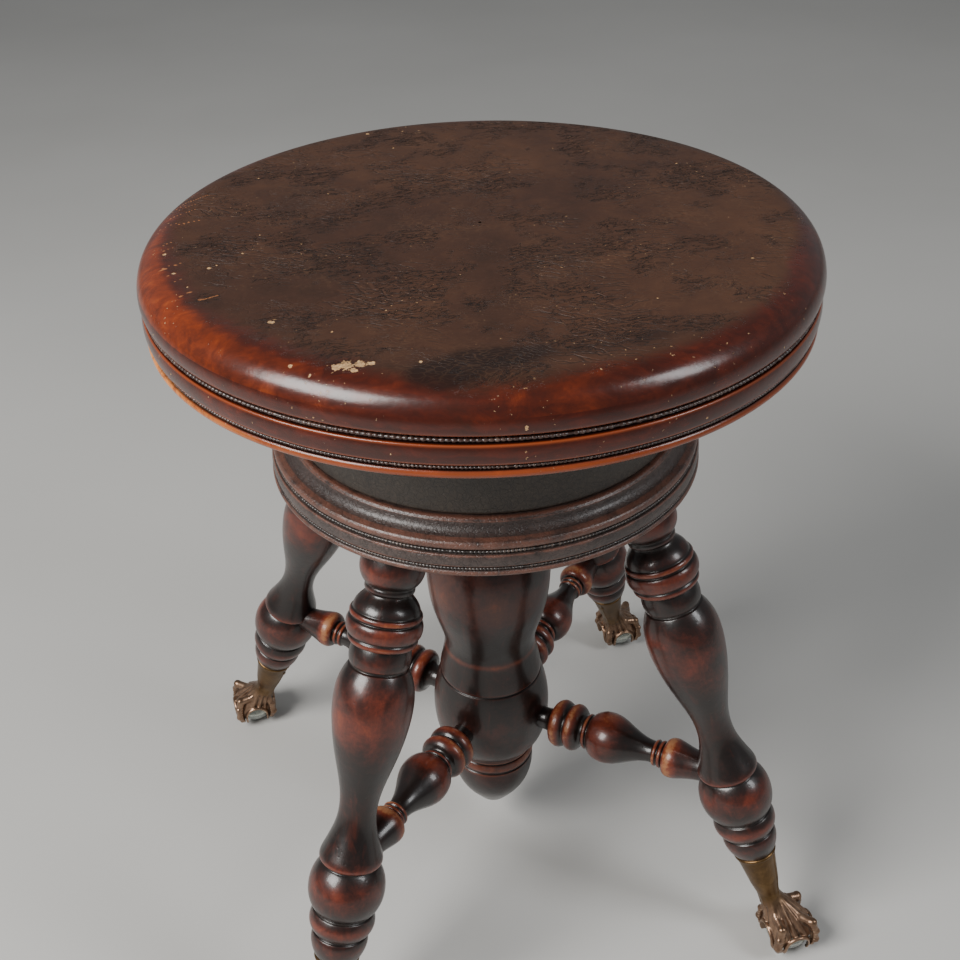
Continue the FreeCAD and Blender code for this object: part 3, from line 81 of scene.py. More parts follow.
STRETCHER = [
    (0, 18, 0), (6.4, 18, 0), (7.25, 18.9, 0), (7.25, 43.5, 0),
    (7.6, 45.2, -6.28), (8.12, 46.16, -5.62), (8.8, 47, -5.72), (9.69, 47.74, -6.8),
    (10.7, 48.3, 0), (12.7, 48.8, 4.64), (13.83, 49.56, 5.01), (14.7, 50.6, 5.23),
    (15.27, 51.85, 5.31), (15.5, 53.2, 5.66), (15.37, 54.64, 6.22), (14.9, 56, 5.8),
    (14.34, 56.92, 4.2), (13.6, 57.7, 0), (12.9, 58.2, 0), (12.9, 59.1, 0),
    (13.6, 59.5, 3.75), (14.29, 60.18, 4.83), (14.8, 61, 5.03), (15.22, 62.22, 4.59),
    (15.3, 63.5, 4.81), (14.95, 64.97, 6.45), (14.2, 66.3, 6.78), (13.21, 67.38, 5.57),
    (12, 68.2, 0), (10.6, 68.8, -3.21), (9.99, 69.26, -1.47), (9.6, 69.9, -1.34),
    (9.55, 70.46, -2.1), (9.7, 71, 0), (10.7, 71.5, 3.13), (11.24, 72.03, 1.17),
    (11.5, 72.7, 1.14), (11.34, 73.35, 2.79), (10.9, 73.9, 0), (10.3, 74.2, 0),
    (10.3, 74.8, 0), (11.4, 75.1, 7.01), (13.03, 76.36, 9.48), (14.3, 78, 11.92),
    (15.34, 80.17, 17.55), (16, 82.5, 18.49), (16.33, 84.74, 21.09), (16.4, 87, 22.02),
    (16.2, 89.52, 20.76), (15.7, 92, 25.18), (14.68, 95.05, 73.17), (13.4, 98, 191.42),
    (11.99, 101, -113.61), (10.6, 104, -71.01), (9.36, 106.97, -42.1), (8.3, 110, -34.84),
    (7.64, 112.48, -24.88), (7.2, 115, -21.08), (7.06, 116.8, -15.57), (7.1, 118.6, 0),
    (7.8, 119, 2.89), (8.28, 119.54, 1.22), (8.5, 120.2, 1.21), (8.33, 120.85, 2.74),
    (7.9, 121.4, 0), (7.4, 121.7, 0), (7.4, 122.2, 0), (8, 122.5, 3.19),
    (8.54, 123.08, 1.34), (8.8, 123.8, 1.31), (8.64, 124.5, 2.9), (8.2, 125.1, 0),
    (7.7, 125.4, 0), (7.7, 125.9, 0), (9.6, 126.2, 4.73), (10.86, 127.02, 4.84),
    (11.8, 128.2, 5.66), (12.38, 129.65, 7.78), (12.6, 131.2, 10.09), (12.45, 133.37, 31.89),
    (12, 135.5, 75.49), (11.26, 138.25, -123.94), (10.5, 141, -72.85), (9.78, 143.98, -57.05),
    (9.2, 147, -50.91), (8.8, 149.99, -41.11), (8.6, 153, 0), (8.6, 155, 0),
    (6, 155, 0), (6, 165.3, 0), (5.3, 166, 0), (0, 166, 0),
]
COLUMN = [
    (0, 0, 10.78), (2.38, 0.62, 14.15), (4.6, 1.7, 17.73), (7.26, 3.66, 29.25),
    (9.6, 6, 41.45), (12.51, 9.66, 394.81), (15.2, 13.5, 489.15), (18.87, 18.9, 59.19),
    (22.2, 24.5, 45.25), (24.39, 29.39, 46.63), (26, 34.5, 49.31), (26.91, 38.97, 48.29),
    (27.4, 43.5, 45.43), (27.48, 46.75, 36.91), (27.3, 50, 0), (26.4, 50.5, 0),
    (26.4, 51.5, 0), (27, 51.9, 8.34), (27.66, 53.55, 6.48), (27.9, 55.3, 6.48),
    (27.66, 57.05, 8.34), (27, 58.7, 0), (26.1, 59.2, 0), (26.1, 60.4, 0),
    (27.4, 60.7, 0), (27.7, 64.1, 0), (27, 64.7, 0), (28.8, 65.2, 19.77),
    (31.05, 67.69, 25.13), (32.9, 70.5, 29.61), (34.75, 74.4, 42.17), (36.1, 78.5, 51.74),
    (37.28, 83.96, 91.94), (38, 89.5, 102.74), (38.43, 95.99, 80.57), (38.4, 102.5, 77.45),
    (37.89, 108.53, 75.39), (36.9, 114.5, 75.53), (35.95, 118.53, 89.81), (34.8, 122.5, 95.88),
    (34.08, 124.71, 107.23), (33.3, 126.9, 0), (32.3, 127.3, 0), (32.3, 128.4, 0),
    (33.2, 128.8, 28.53), (33.03, 131.16, 46.37), (32.7, 133.5, 71.25), (32.13, 136.51, 0),
    (31.5, 139.5, -254.06), (30.69, 143.49, -88.79), (30, 147.5, -57.35), (29.59, 150.99, -29.55),
    (29.5, 154.5, -28.76), (29.83, 158.02, -54.07), (30.5, 161.5, -96.62), (31.92, 167.02, 0),
    (33.5, 172.5, 298.36), (35.42, 179.46, 97.24), (37, 186.5, 94.65), (38.08, 193.97, 178.89),
    (38.7, 201.5, 151.5), (38.96, 208, 55.99), (38.7, 214.5, 46.3), (37.92, 219.56, 48.91),
    (36.6, 224.5, 56.24), (34.9, 229.06, 101.67), (32.9, 233.5, 345.34), (30.97, 237.46, -45.92),
    (29.2, 241.5, -27.64), (28.26, 244.45, -15.08), (27.8, 247.5, 0), (27, 248.1, 0),
    (27, 249.7, 0), (29.6, 250.1, 5.9), (31.26, 250.98, 7.08), (32.6, 252.3, 6.43),
    (33.47, 253.81, 4.48), (33.8, 255.5, 4.48), (33.47, 257.19, 6.43), (32.6, 258.7, 7.08),
    (31.26, 260.02, 5.9), (29.6, 260.9, 0), (27.6, 261.3, 0), (27.6, 262.7, 0),
    (28.4, 263.1, -34.47), (28.51, 266.82, -36.73), (29, 270.5, -34.78), (30.02, 274.59, -26.74),
    (31.6, 278.5, -22.57), (33.35, 281.43, -16.34), (35.6, 284, 0), (36.8, 284.9, 0),
    (36.8, 286.7, 0), (37.6, 287.1, 7.93), (38.77, 288.49, 8.07), (39.6, 290.1, 8.82),
    (40.05, 291.77, 11), (40.2, 293.5, 11.52), (40.07, 295.33, 8.67), (39.6, 297.1, 7.09),
    (38.94, 298.4, 5.18), (38, 299.5, 0), (30, 299.5, 0), (30, 312.7, 0),
    (29, 313.7, 0), (0, 313.7, 0),
]
SEAT = [
    (0, 0, 0), (175.9, 0, 4.71), (176.76, 0.83, 2.08), (177.2, 1.9, 2.1),
    (176.99, 3.07, 4.94), (176.3, 4.1, 0), (174.8, 4.3, 0), (174.8, 7.1, 0),
    (177.2, 7.3, 16.83), (177.79, 9.72, 15.56), (178, 12.2, 15.72), (177.8, 14.78, 17.69),
    (177.2, 17.3, 0), (174.8, 17.5, 0), (174.8, 21.2, 0), (177, 21.5, 6.52),
    (177.71, 23.19, 9.68), (178, 25, 12.72), (177.89, 27.73, 20.57), (177.3, 30.4, 19.61),
    (176.32, 33.06, 14.4), (174.9, 35.5, 14.43), (172.94, 37.71, 16.6), (170.6, 39.5, 17.43),
    (167.8, 40.94, 21.51), (164.8, 41.9, 24.54), (161.18, 42.49, 31.47), (157.5, 42.6, 0),
    (0, 42.6, 0),
]
CAP = [
    (0, 0, 0), (121.6, 0, 4.55), (122.52, 0.44, 1.37), (123.1, 1.2, 1.41),
    (123.01, 2.25, 5.39), (122.4, 3.2, 0), (121.2, 3.4, 0), (121.2, 5.4, 0),
    (122.3, 5.7, 11.34), (122.62, 7.34, 10.82), (122.7, 9, 11.1), (122.49, 10.83, 12.85),
    (122, 12.6, 0), (119.9, 12.9, 0), (119.9, 15.4, 0), (121, 15.7, 4.29),
    (121.43, 16.71, 2.62), (121.5, 17.8, 2.68), (121.08, 18.9, 4.78), (120.3, 19.8, 0),
    (118.9, 20.1, 0), (117.6, 20.3, -5.21), (116.01, 20.68, -5.91), (114.6, 21.5, -6.5),
    (113.51, 22.59, -6.89), (112.7, 23.9, -6.61), (112.26, 25.12, -5.43), (112.1, 26.4, 0),
    (111.6, 26.8, 2.9), (111.18, 27.38, 1.82), (110.6, 27.8, 1.82), (109.91, 27.96, 2.87),
    (109.2, 27.9, 0), (0, 27.9, 0),
]


# ---------------------------------------------------------------------------
# mesh tools
# ---------------------------------------------------------------------------
def hash01(*v):
    """A repeatable pseudo-random number in 0..1 from whole numbers."""
    x = math.sin(sum(a * b for a, b in zip(v, (12.9898, 78.233, 37.719, 4.581)))) * 43758.5453
    return x - math.floor(x)


def expand(rows, step=0.3):
    """Points along a chain of lines and arcs."""
    out = []
    n = len(rows)
    for i in range(n - 1):
        a, b, arc = np.array(rows[i][:2], float), np.array(rows[i + 1][:2], float), rows[i][2]
        length = np.hypot(*(b - a))
        if length < 1e-6:
            continue
        k = max(2, int(math.ceil(length / step)))
        if arc == 0:
            for j in range(k):
                out.append(a + (b - a) * j / k)
            continue
        side = 1.0 if arc > 0 else -1.0
        left = np.array([-(b - a)[1], (b - a)[0]]) / length
        c = (a + b) / 2 + left * side * math.sqrt(max(arc * arc - length * length / 4, 0))
        t0, t1 = math.atan2(a[1] - c[1], a[0] - c[0]), math.atan2(b[1] - c[1], b[0] - c[0])
        if arc > 0 and t1 < t0:
            t1 += 2 * math.pi
        if arc < 0 and t1 > t0:
            t1 -= 2 * math.pi
        for j in range(k):
            t = t0 + (t1 - t0) * j / k
            out.append(c + abs(arc) * np.array([math.cos(t), math.sin(t)]))
    out.append(np.array(rows[-1][:2], float))
    return np.array(out)


def resample(pts, step, lo=None):
    """Even spacing along the outline."""
    d = np.r_[0, np.cumsum(np.hypot(*np.diff(pts, axis=0).T))]
    n = max(4, int(d[-1] / step))
    s = np.linspace(0, d[-1], n)
    return np.c_[np.interp(s, d, pts[:, 0]), np.interp(s, d, pts[:, 1])]


def gauss(a, sigma):
    """Smooths along an open line, the ends held."""
    if sigma <= 0:
        return a.copy()
    k = int(math.ceil(sigma * 3))
    w = np.exp(-0.5 * (np.arange(-k, k + 1) / sigma) ** 2)
    w /= w.sum()
    pad = np.concatenate([np.full(k, a[0]) * 1.0, a, np.full(k, a[-1]) * 1.0])
    if k:
        pad[:k] = 2 * a[0] - a[1:k + 1][::-1] if len(a) > k else a[0]
        pad[-k:] = 2 * a[-1] - a[-k - 1:-1][::-1] if len(a) > k else a[-1]
    return np.convolve(pad, w, mode="valid")


def soften(pts, step, sigma_mm):
    """Rounds the crisp corners of an outline as sanding and varnish do."""
    p = resample(pts, step)
    s = sigma_mm / step
    return np.c_[gauss(p[:, 0], s), gauss(p[:, 1], s)]


def relief(pts, step, sigma_mm):
    """How far each point stands out of the smoothed outline: bulges plus, grooves minus."""
    r = pts[:, 0]
    return r - gauss(r, sigma_mm / step)


def make_mesh(name, verts, faces, attrs=None, smooth=True):
    """A mesh from arrays; faces is an (n, 4) array of quads, or a list."""
    me = bpy.data.meshes.new(name)
    verts = np.asarray(verts, np.float32)
    faces = np.asarray(faces, np.int32)
    me.vertices.add(len(verts))
    me.vertices.foreach_set("co", verts.ravel())
    me.loops.add(faces.size)
    me.loops.foreach_set("vertex_index", faces.ravel())
    me.polygons.add(len(faces))
    width = faces.shape[1]
    me.polygons.foreach_set("loop_start", np.arange(0, faces.size, width, dtype=np.int32))
    me.polygons.foreach_set("loop_total", np.full(len(faces), width, np.int32))
    me.update(calc_edges=True)
    me.validate()
    if smooth:
        me.polygons.foreach_set("use_smooth", np.ones(len(me.polygons), bool))
    for key, vals in (attrs or {}).items():
        at = me.attributes.new(key, "FLOAT", "POINT")
        at.data.foreach_set("value", np.asarray(vals, np.float32))
    me.update()
    return me


def lathe_arrays(pts, seg, closed=False, wobble=0.0, seed=1.0):
    """Vertices and quads of a turned surface; pts is (n, 2) in mm, returned in metres.
    Poles on the axis are tiny rings, so that every face is a quad."""
    r = np.maximum(pts[:, 0], 0.02)
    z = pts[:, 1]
    t = np.arange(seg) * 2 * math.pi / seg
    rr = r[:, None] * np.ones(seg)[None, :]
    if wobble:
        w = np.zeros_like(rr)
        for m, (a, b) in enumerate(((2, 0.021), (3, 0.034), (5, 0.055), (7, 0.018))):
            w += np.sin(a * t[None, :] + z[:, None] * b + seed * (m + 1.7)) / (m + 1.5)
        rr = rr + w * wobble * np.clip(r / 20.0, 0, 1)[:, None]
    x = rr * np.cos(t)[None, :]
    y = rr * np.sin(t)[None, :]
    zz = np.repeat(z[:, None], seg, 1)
    v = np.stack([x, y, zz], -1).reshape(-1, 3) * MM
    n = len(pts)
    i = np.arange(n if closed else n - 1)
    j = np.arange(seg)
    a = (i[:, None] * seg + j[None, :]).ravel()
    b = (i[:, None] * seg + (j[None, :] + 1) % seg).ravel()
    c = (((i[:, None] + 1) % n) * seg + (j[None, :] + 1) % seg).ravel()
    d = (((i[:, None] + 1) % n) * seg + j[None, :]).ravel()
    return v, np.stack([a, b, c, d], 1)


def lathe_attrs(pts, step, seg, worn_bands=()):
    """edge: crisp raised rims; bulge: broad swellings; cavity: grooves; worn: listed bands."""
    fine = relief(pts, step, 1.1)
    broad = relief(pts, step, 7.0)
    edge = np.clip(fine / 0.22, 0, 1)
    bulge = np.clip(broad / 2.2, 0, 1)
    cavity = np.clip(-fine / 0.25, 0, 1) * 0.7 + np.clip(-broad / 3.0, 0, 1) * 0.5
    worn = np.zeros(len(pts))
    for centre, width, amount in worn_bands:
        worn = np.maximum(worn, amount * np.exp(-0.5 * ((pts[:, 1] - centre) / width) ** 2))
    rep = lambda a: np.repeat(a, seg)
    return {"edge": rep(edge), "bulge": rep(bulge), "cavity": rep(np.clip(cavity, 0, 1)), "worn": rep(worn)}


def add(name, mesh, mat, body, matrix=None, node=None):
    ob = bpy.data.objects.new(name, mesh)
    bpy.context.scene.collection.objects.link(ob)
    if matrix is not None:
        ob.matrix_world = matrix
    if mat is not None and not mesh.materials:
        mesh.materials.append(mat)
    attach(ob, body)
    for n in ([node] if isinstance(node, str) else (node or [])):
        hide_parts(n)
    return ob


# a scalar field to a mesh: one vertex in each crossed cell, one quad over each crossed edge
CORNERS8 = np.array([(i, j, k) for i in (0, 1) for j in (0, 1) for k in (0, 1)])
EDGES12 = [(a, b) for a in range(8) for b in range(a + 1, 8)
           if np.abs(CORNERS8[a] - CORNERS8[b]).sum() == 1]


def surface_net(f, origin, h):
    inside = f < 0
    nx, ny, nz = (s - 1 for s in f.shape)
    total = np.zeros((nx, ny, nz), np.int8)
    for c in CORNERS8:
        total += inside[c[0]:c[0] + nx, c[1]:c[1] + ny, c[2]:c[2] + nz]
    active = (total > 0) & (total < 8)
    cells = np.argwhere(active)
    index = np.full((nx, ny, nz), -1, np.int64)
    index[active] = np.arange(len(cells))
    vals = np.stack([f[cells[:, 0] + c[0], cells[:, 1] + c[1], cells[:, 2] + c[2]] for c in CORNERS8], 1)
    acc = np.zeros((len(cells), 3))
    cnt = np.zeros(len(cells))
    for a, b in EDGES12:
        va, vb = vals[:, a], vals[:, b]
        m = (va < 0) != (vb < 0)
        t = np.where(m, va / np.where(va - vb == 0, 1, va - vb), 0)
        p = CORNERS8[a] + (CORNERS8[b] - CORNERS8[a]) * t[:, None]
        acc += p * m[:, None]
        cnt += m
    verts = (cells + acc / cnt[:, None]) * h + origin
    quads = []
    for ax in range(3):
        u, v = [(1, 2), (2, 0), (0, 1)][ax]
        sl0 = [slice(None)] * 3
        sl1 = [slice(None)] * 3
        sl0[ax], sl1[ax] = slice(0, -1), slice(1, None)
        a, b = inside[tuple(sl0)], inside[tuple(sl1)]
        cross = np.argwhere(a != b)
        ok = np.all(cross[:, [u, v]] > 0, 1) & (cross[:, u] < f.shape[u] - 1) & (cross[:, v] < f.shape[v] - 1)
        cross = cross[ok]
        flip = ~a[tuple(cross.T)]
        du, dv = np.zeros(3, int), np.zeros(3, int)
        du[u], dv[v] = 1, 1
        q = np.stack([index[tuple((cross - du - dv).T)], index[tuple((cross - dv).T)],
                      index[tuple(cross.T)], index[tuple((cross - du).T)]], 1)
        q[flip] = q[flip][:, ::-1]
        quads.append(q)
    quads = np.concatenate(quads)
    return verts, quads[np.all(quads >= 0, 1)]


def neighbour_mean(values, quads, n):
    tot = np.zeros((n,) + values.shape[1:])
    cnt = np.zeros(n)
    for a, b in ((0, 1), (1, 2), (2, 3), (3, 0)):
        np.add.at(tot, quads[:, a], values[quads[:, b]])
        np.add.at(tot, quads[:, b], values[quads[:, a]])
        np.add.at(cnt, quads[:, a], 1)
        np.add.at(cnt, quads[:, b], 1)
    return tot / np.maximum(cnt, 1).reshape((-1,) + (1,) * (values.ndim - 1))


def vertex_normals(v, q):
    fn = np.cross(v[q[:, 2]] - v[q[:, 0]], v[q[:, 3]] - v[q[:, 1]])
    n = np.zeros_like(v)
    for k in range(4):
        np.add.at(n, q[:, k], fn)
    return n / np.maximum(np.linalg.norm(n, axis=1), 1e-12)[:, None]


# ---------------------------------------------------------------------------
# materials
# ---------------------------------------------------------------------------
def lin(r, g, b, a=1.0):
    """A colour given as 0..255 in sRGB, for a shader socket."""
    f = lambda c: (c / 255 / 12.92) if c / 255 <= 0.04045 else ((c / 255 + 0.055) / 1.055) ** 2.4
    return (f(r), f(g), f(b), a)


class Mat:
    def __init__(self, name):
        self.m = bpy.data.materials.new(name)
        self.m.use_nodes = True
        self.t = self.m.node_tree
        self.t.nodes.clear()
        self.out = self.t.nodes.new("ShaderNodeOutputMaterial")
        self.coord = self.t.nodes.new("ShaderNodeTexCoord")
        self.P = self.coord.outputs["Object"]

    def put(self, socket, value):
        if isinstance(value, bpy.types.NodeSocket):
            self.t.links.new(value, socket)
        else:
            socket.default_value = value

    def map(self, vec, scale=(1, 1, 1), loc=(0, 0, 0), rot=(0, 0, 0)):
        n = self.t.nodes.new("ShaderNodeMapping")
        self.put(n.inputs["Vector"], vec)
        n.inputs["Scale"].default_value = scale
        n.inputs["Location"].default_value = loc
        n.inputs["Rotation"].default_value = rot
        return n.outputs[0]

    def noise(self, vec, scale, detail=4.0, rough=0.55, distort=0.0, colour=False):
        n = self.t.nodes.new("ShaderNodeTexNoise")
        self.put(n.inputs["Vector"], vec)
        n.inputs["Scale"].default_value = scale
        n.inputs["Detail"].default_value = detail
        n.inputs["Roughness"].default_value = rough
        n.inputs["Distortion"].default_value = distort
        return n.outputs["Color" if colour else "Fac"]

    def voronoi(self, vec, scale, feature="F1", rand=1.0, out="Distance"):
        n = self.t.nodes.new("ShaderNodeTexVoronoi")
        n.feature = feature
        self.put(n.inputs["Vector"], vec)
        n.inputs["Scale"].default_value = scale
        n.inputs["Randomness"].default_value = rand
        return n.outputs[out]

    def attr(self, name):
        n = self.t.nodes.new("ShaderNodeAttribute")
        n.attribute_name = name
        return n.outputs["Fac"]

    def math(self, op, a, b=0.0, c=0.0, clamp=False):
        n = self.t.nodes.new("ShaderNodeMath")
        n.operation = op
        n.use_clamp = clamp
        self.put(n.inputs[0], a)
        self.put(n.inputs[1], b)
        if len(n.inputs) > 2:
            self.put(n.inputs[2], c)
        return n.outputs[0]

    def mul(self, a, b, **k): return self.math("MULTIPLY", a, b, **k)
    def addv(self, a, b, **k): return self.math("ADD", a, b, **k)
    def sub(self, a, b, **k): return self.math("SUBTRACT", a, b, **k)

    def step(self, v, lo, hi, smooth=True):
        """0 below lo, 1 above hi."""
        n = self.t.nodes.new("ShaderNodeMapRange")
        n.interpolation_type = "SMOOTHSTEP" if smooth else "LINEAR"
        self.put(n.inputs[0], v)
        n.inputs[1].default_value = lo
        n.inputs[2].default_value = hi
        n.inputs[3].default_value = 0.0
        n.inputs[4].default_value = 1.0
        return n.outputs[0]

    def ramp(self, fac, stops, mode="LINEAR"):
        n = self.t.nodes.new("ShaderNodeValToRGB")
        n.color_ramp.interpolation = mode
        els = n.color_ramp.elements
        while len(els) < len(stops):
            els.new(0.5)
        for e, (p, c) in zip(els, stops):
            e.position = p
            e.color = c if len(c) == 4 else (*c, 1.0)
        self.put(n.inputs[0], fac)
        return n.outputs[0]

    def mix(self, fac, a, b, blend="MIX"):
        n = self.t.nodes.new("ShaderNodeMix")
        n.data_type = "RGBA"
        n.blend_type = blend
        n.clamp_factor = True
        self.put(n.inputs[0], fac)
        self.put(n.inputs[6], a)
        self.put(n.inputs[7], b)
        return n.outputs[2]

    def mixf(self, fac, a, b):
        n = self.t.nodes.new("ShaderNodeMix")
        n.data_type = "FLOAT"
        n.clamp_factor = True
        self.put(n.inputs[0], fac)
        self.put(n.inputs[2], a)
        self.put(n.inputs[3], b)
        return n.outputs[0]

    def xyz(self, vec):
        n = self.t.nodes.new("ShaderNodeSeparateXYZ")
        self.put(n.inputs[0], vec)
        return n.outputs

    def join(self, x, y, z):
        n = self.t.nodes.new("ShaderNodeCombineXYZ")
        for s, v in zip(n.inputs, (x, y, z)):
            self.put(s, v)
        return n.outputs[0]

    def vadd(self, a, b):
        n = self.t.nodes.new("ShaderNodeVectorMath")
        n.operation = "ADD"
        self.put(n.inputs[0], a)
        self.put(n.inputs[1], b)
        return n.outputs[0]

    def vscale(self, a, s):
        n = self.t.nodes.new("ShaderNodeVectorMath")
        n.operation = "SCALE"
        self.put(n.inputs[0], a)
        n.inputs["Scale"].default_value = s
        return n.outputs[0]

    def bump(self, height, strength, distance, normal=None):
        n = self.t.nodes.new("ShaderNodeBump")
        n.inputs["Strength"].default_value = strength
        n.inputs["Distance"].default_value = distance
        self.put(n.inputs["Height"], height)
        if normal is not None:
            self.put(n.inputs["Normal"], normal)
        return n.outputs[0]

    def random(self):
        n = self.t.nodes.new("ShaderNodeObjectInfo")
        return n.outputs["Random"]

    def finish(self, **inputs):
        n = self.t.nodes.new("ShaderNodeBsdfPrincipled")
        for key, value in inputs.items():
            self.put(n.inputs[key.replace("_", " ")], value)
        self.t.links.new(n.outputs[0], self.out.inputs[0])
        return self.m


def turned_wood(name, wear=0.0, tan=0.0, red=1.0, rough=0.33, coat=0.36):
    """Old dark shellac over mahogany-coloured turning, rubbed through on the bulges and rims."""
    m = Mat(name)
    rnd = m.random()
    P = m.vadd(m.P, m.join(m.mul(rnd, 3.1), m.mul(rnd, 1.7), m.mul(rnd, 5.3)))
    grain = m.noise(m.map(P, (1, 1, 0.07)), 900, 6, 0.65)
    streak = m.noise(m.map(P, (1, 1, 0.16)), 160, 5, 0.6, 0.4)
    patch = m.noise(P, 26, 5, 0.6, 0.6)
    blot = m.noise(P, 75, 6, 0.68, 0.8)
    fine = m.noise(P, 480, 4, 0.65)
    e, b, c, w = m.attr("edge"), m.attr("bulge"), m.attr("cavity"), m.attr("worn")
    expo = m.addv(m.addv(m.mul(b, 0.42), m.mul(e, 0.50)), m.mul(w, 0.85))
    expo = m.addv(expo, wear)
    expo = m.addv(expo, m.mul(m.sub(patch, 0.5), 1.25))
    expo = m.addv(expo, m.mul(m.sub(blot, 0.5), 0.75))
    expo = m.addv(expo, m.mul(m.sub(fine, 0.5), 0.35))
    expo = m.sub(expo, m.mul(c, 0.65))
    col = m.ramp(expo, [(0.00, lin(22, 13, 11)), (0.20, lin(38, 19, 15)), (0.40, lin(66, 29, 21)),
                        (0.60, lin(98 * red, 41, 27)), (0.80, lin(120, 56, 32)), (1.00, lin(146, 86, 52))])
    rub = m.step(m.addv(expo, m.mul(m.sub(fine, 0.5), 0.7)), 0.93 - tan, 1.28 - tan)
    col = m.mix(m.mul(rub, 0.75), col, lin(158, 108, 70))
    col = m.mix(m.mul(m.sub(grain, 0.35), 0.55), col, lin(12, 7, 6), "MIX")
    col = m.mix(m.mul(m.step(streak, 0.55, 0.75), 0.28), col, lin(96, 40, 24), "MIX")
    dust = m.mul(c, m.step(m.noise(P, 140, 4, 0.6), 0.42, 0.62))
    col = m.mix(m.mul(dust, 0.22), col, lin(70, 62, 54))
    roughness = m.addv(m.mixf(rub, rough, 0.55), m.mul(m.sub(blot, 0.5), 0.26))
    h = m.addv(m.addv(m.mul(grain, 0.3), m.mul(streak, 0.5)), m.mul(m.noise(P, 55, 3, 0.5), 2.2))
    h = m.addv(h, m.mul(m.step(m.voronoi(P, 210), 0.0, 0.22), 0.35))
    nrm = m.bump(h, 0.42, 0.00045)
    return m.finish(Base_Color=col, Roughness=roughness, Normal=nrm, Coat_Weight=coat, Coat_Roughness=0.15,
                    Specular_IOR_Level=0.42, IOR=1.5)


STEP = 0.3

# ---------------------------------------------------------------------------
# materials of the pieces
# ---------------------------------------------------------------------------
LEG_WOOD = turned_wood("leg_wood", wear=-0.05)
STRETCHER_WOOD = turned_wood("stretcher_wood", wear=-0.06, tan=0.20)
COLUMN_WOOD = turned_wood("column_wood", wear=0.08, red=0.84, rough=0.36, coat=0.34)


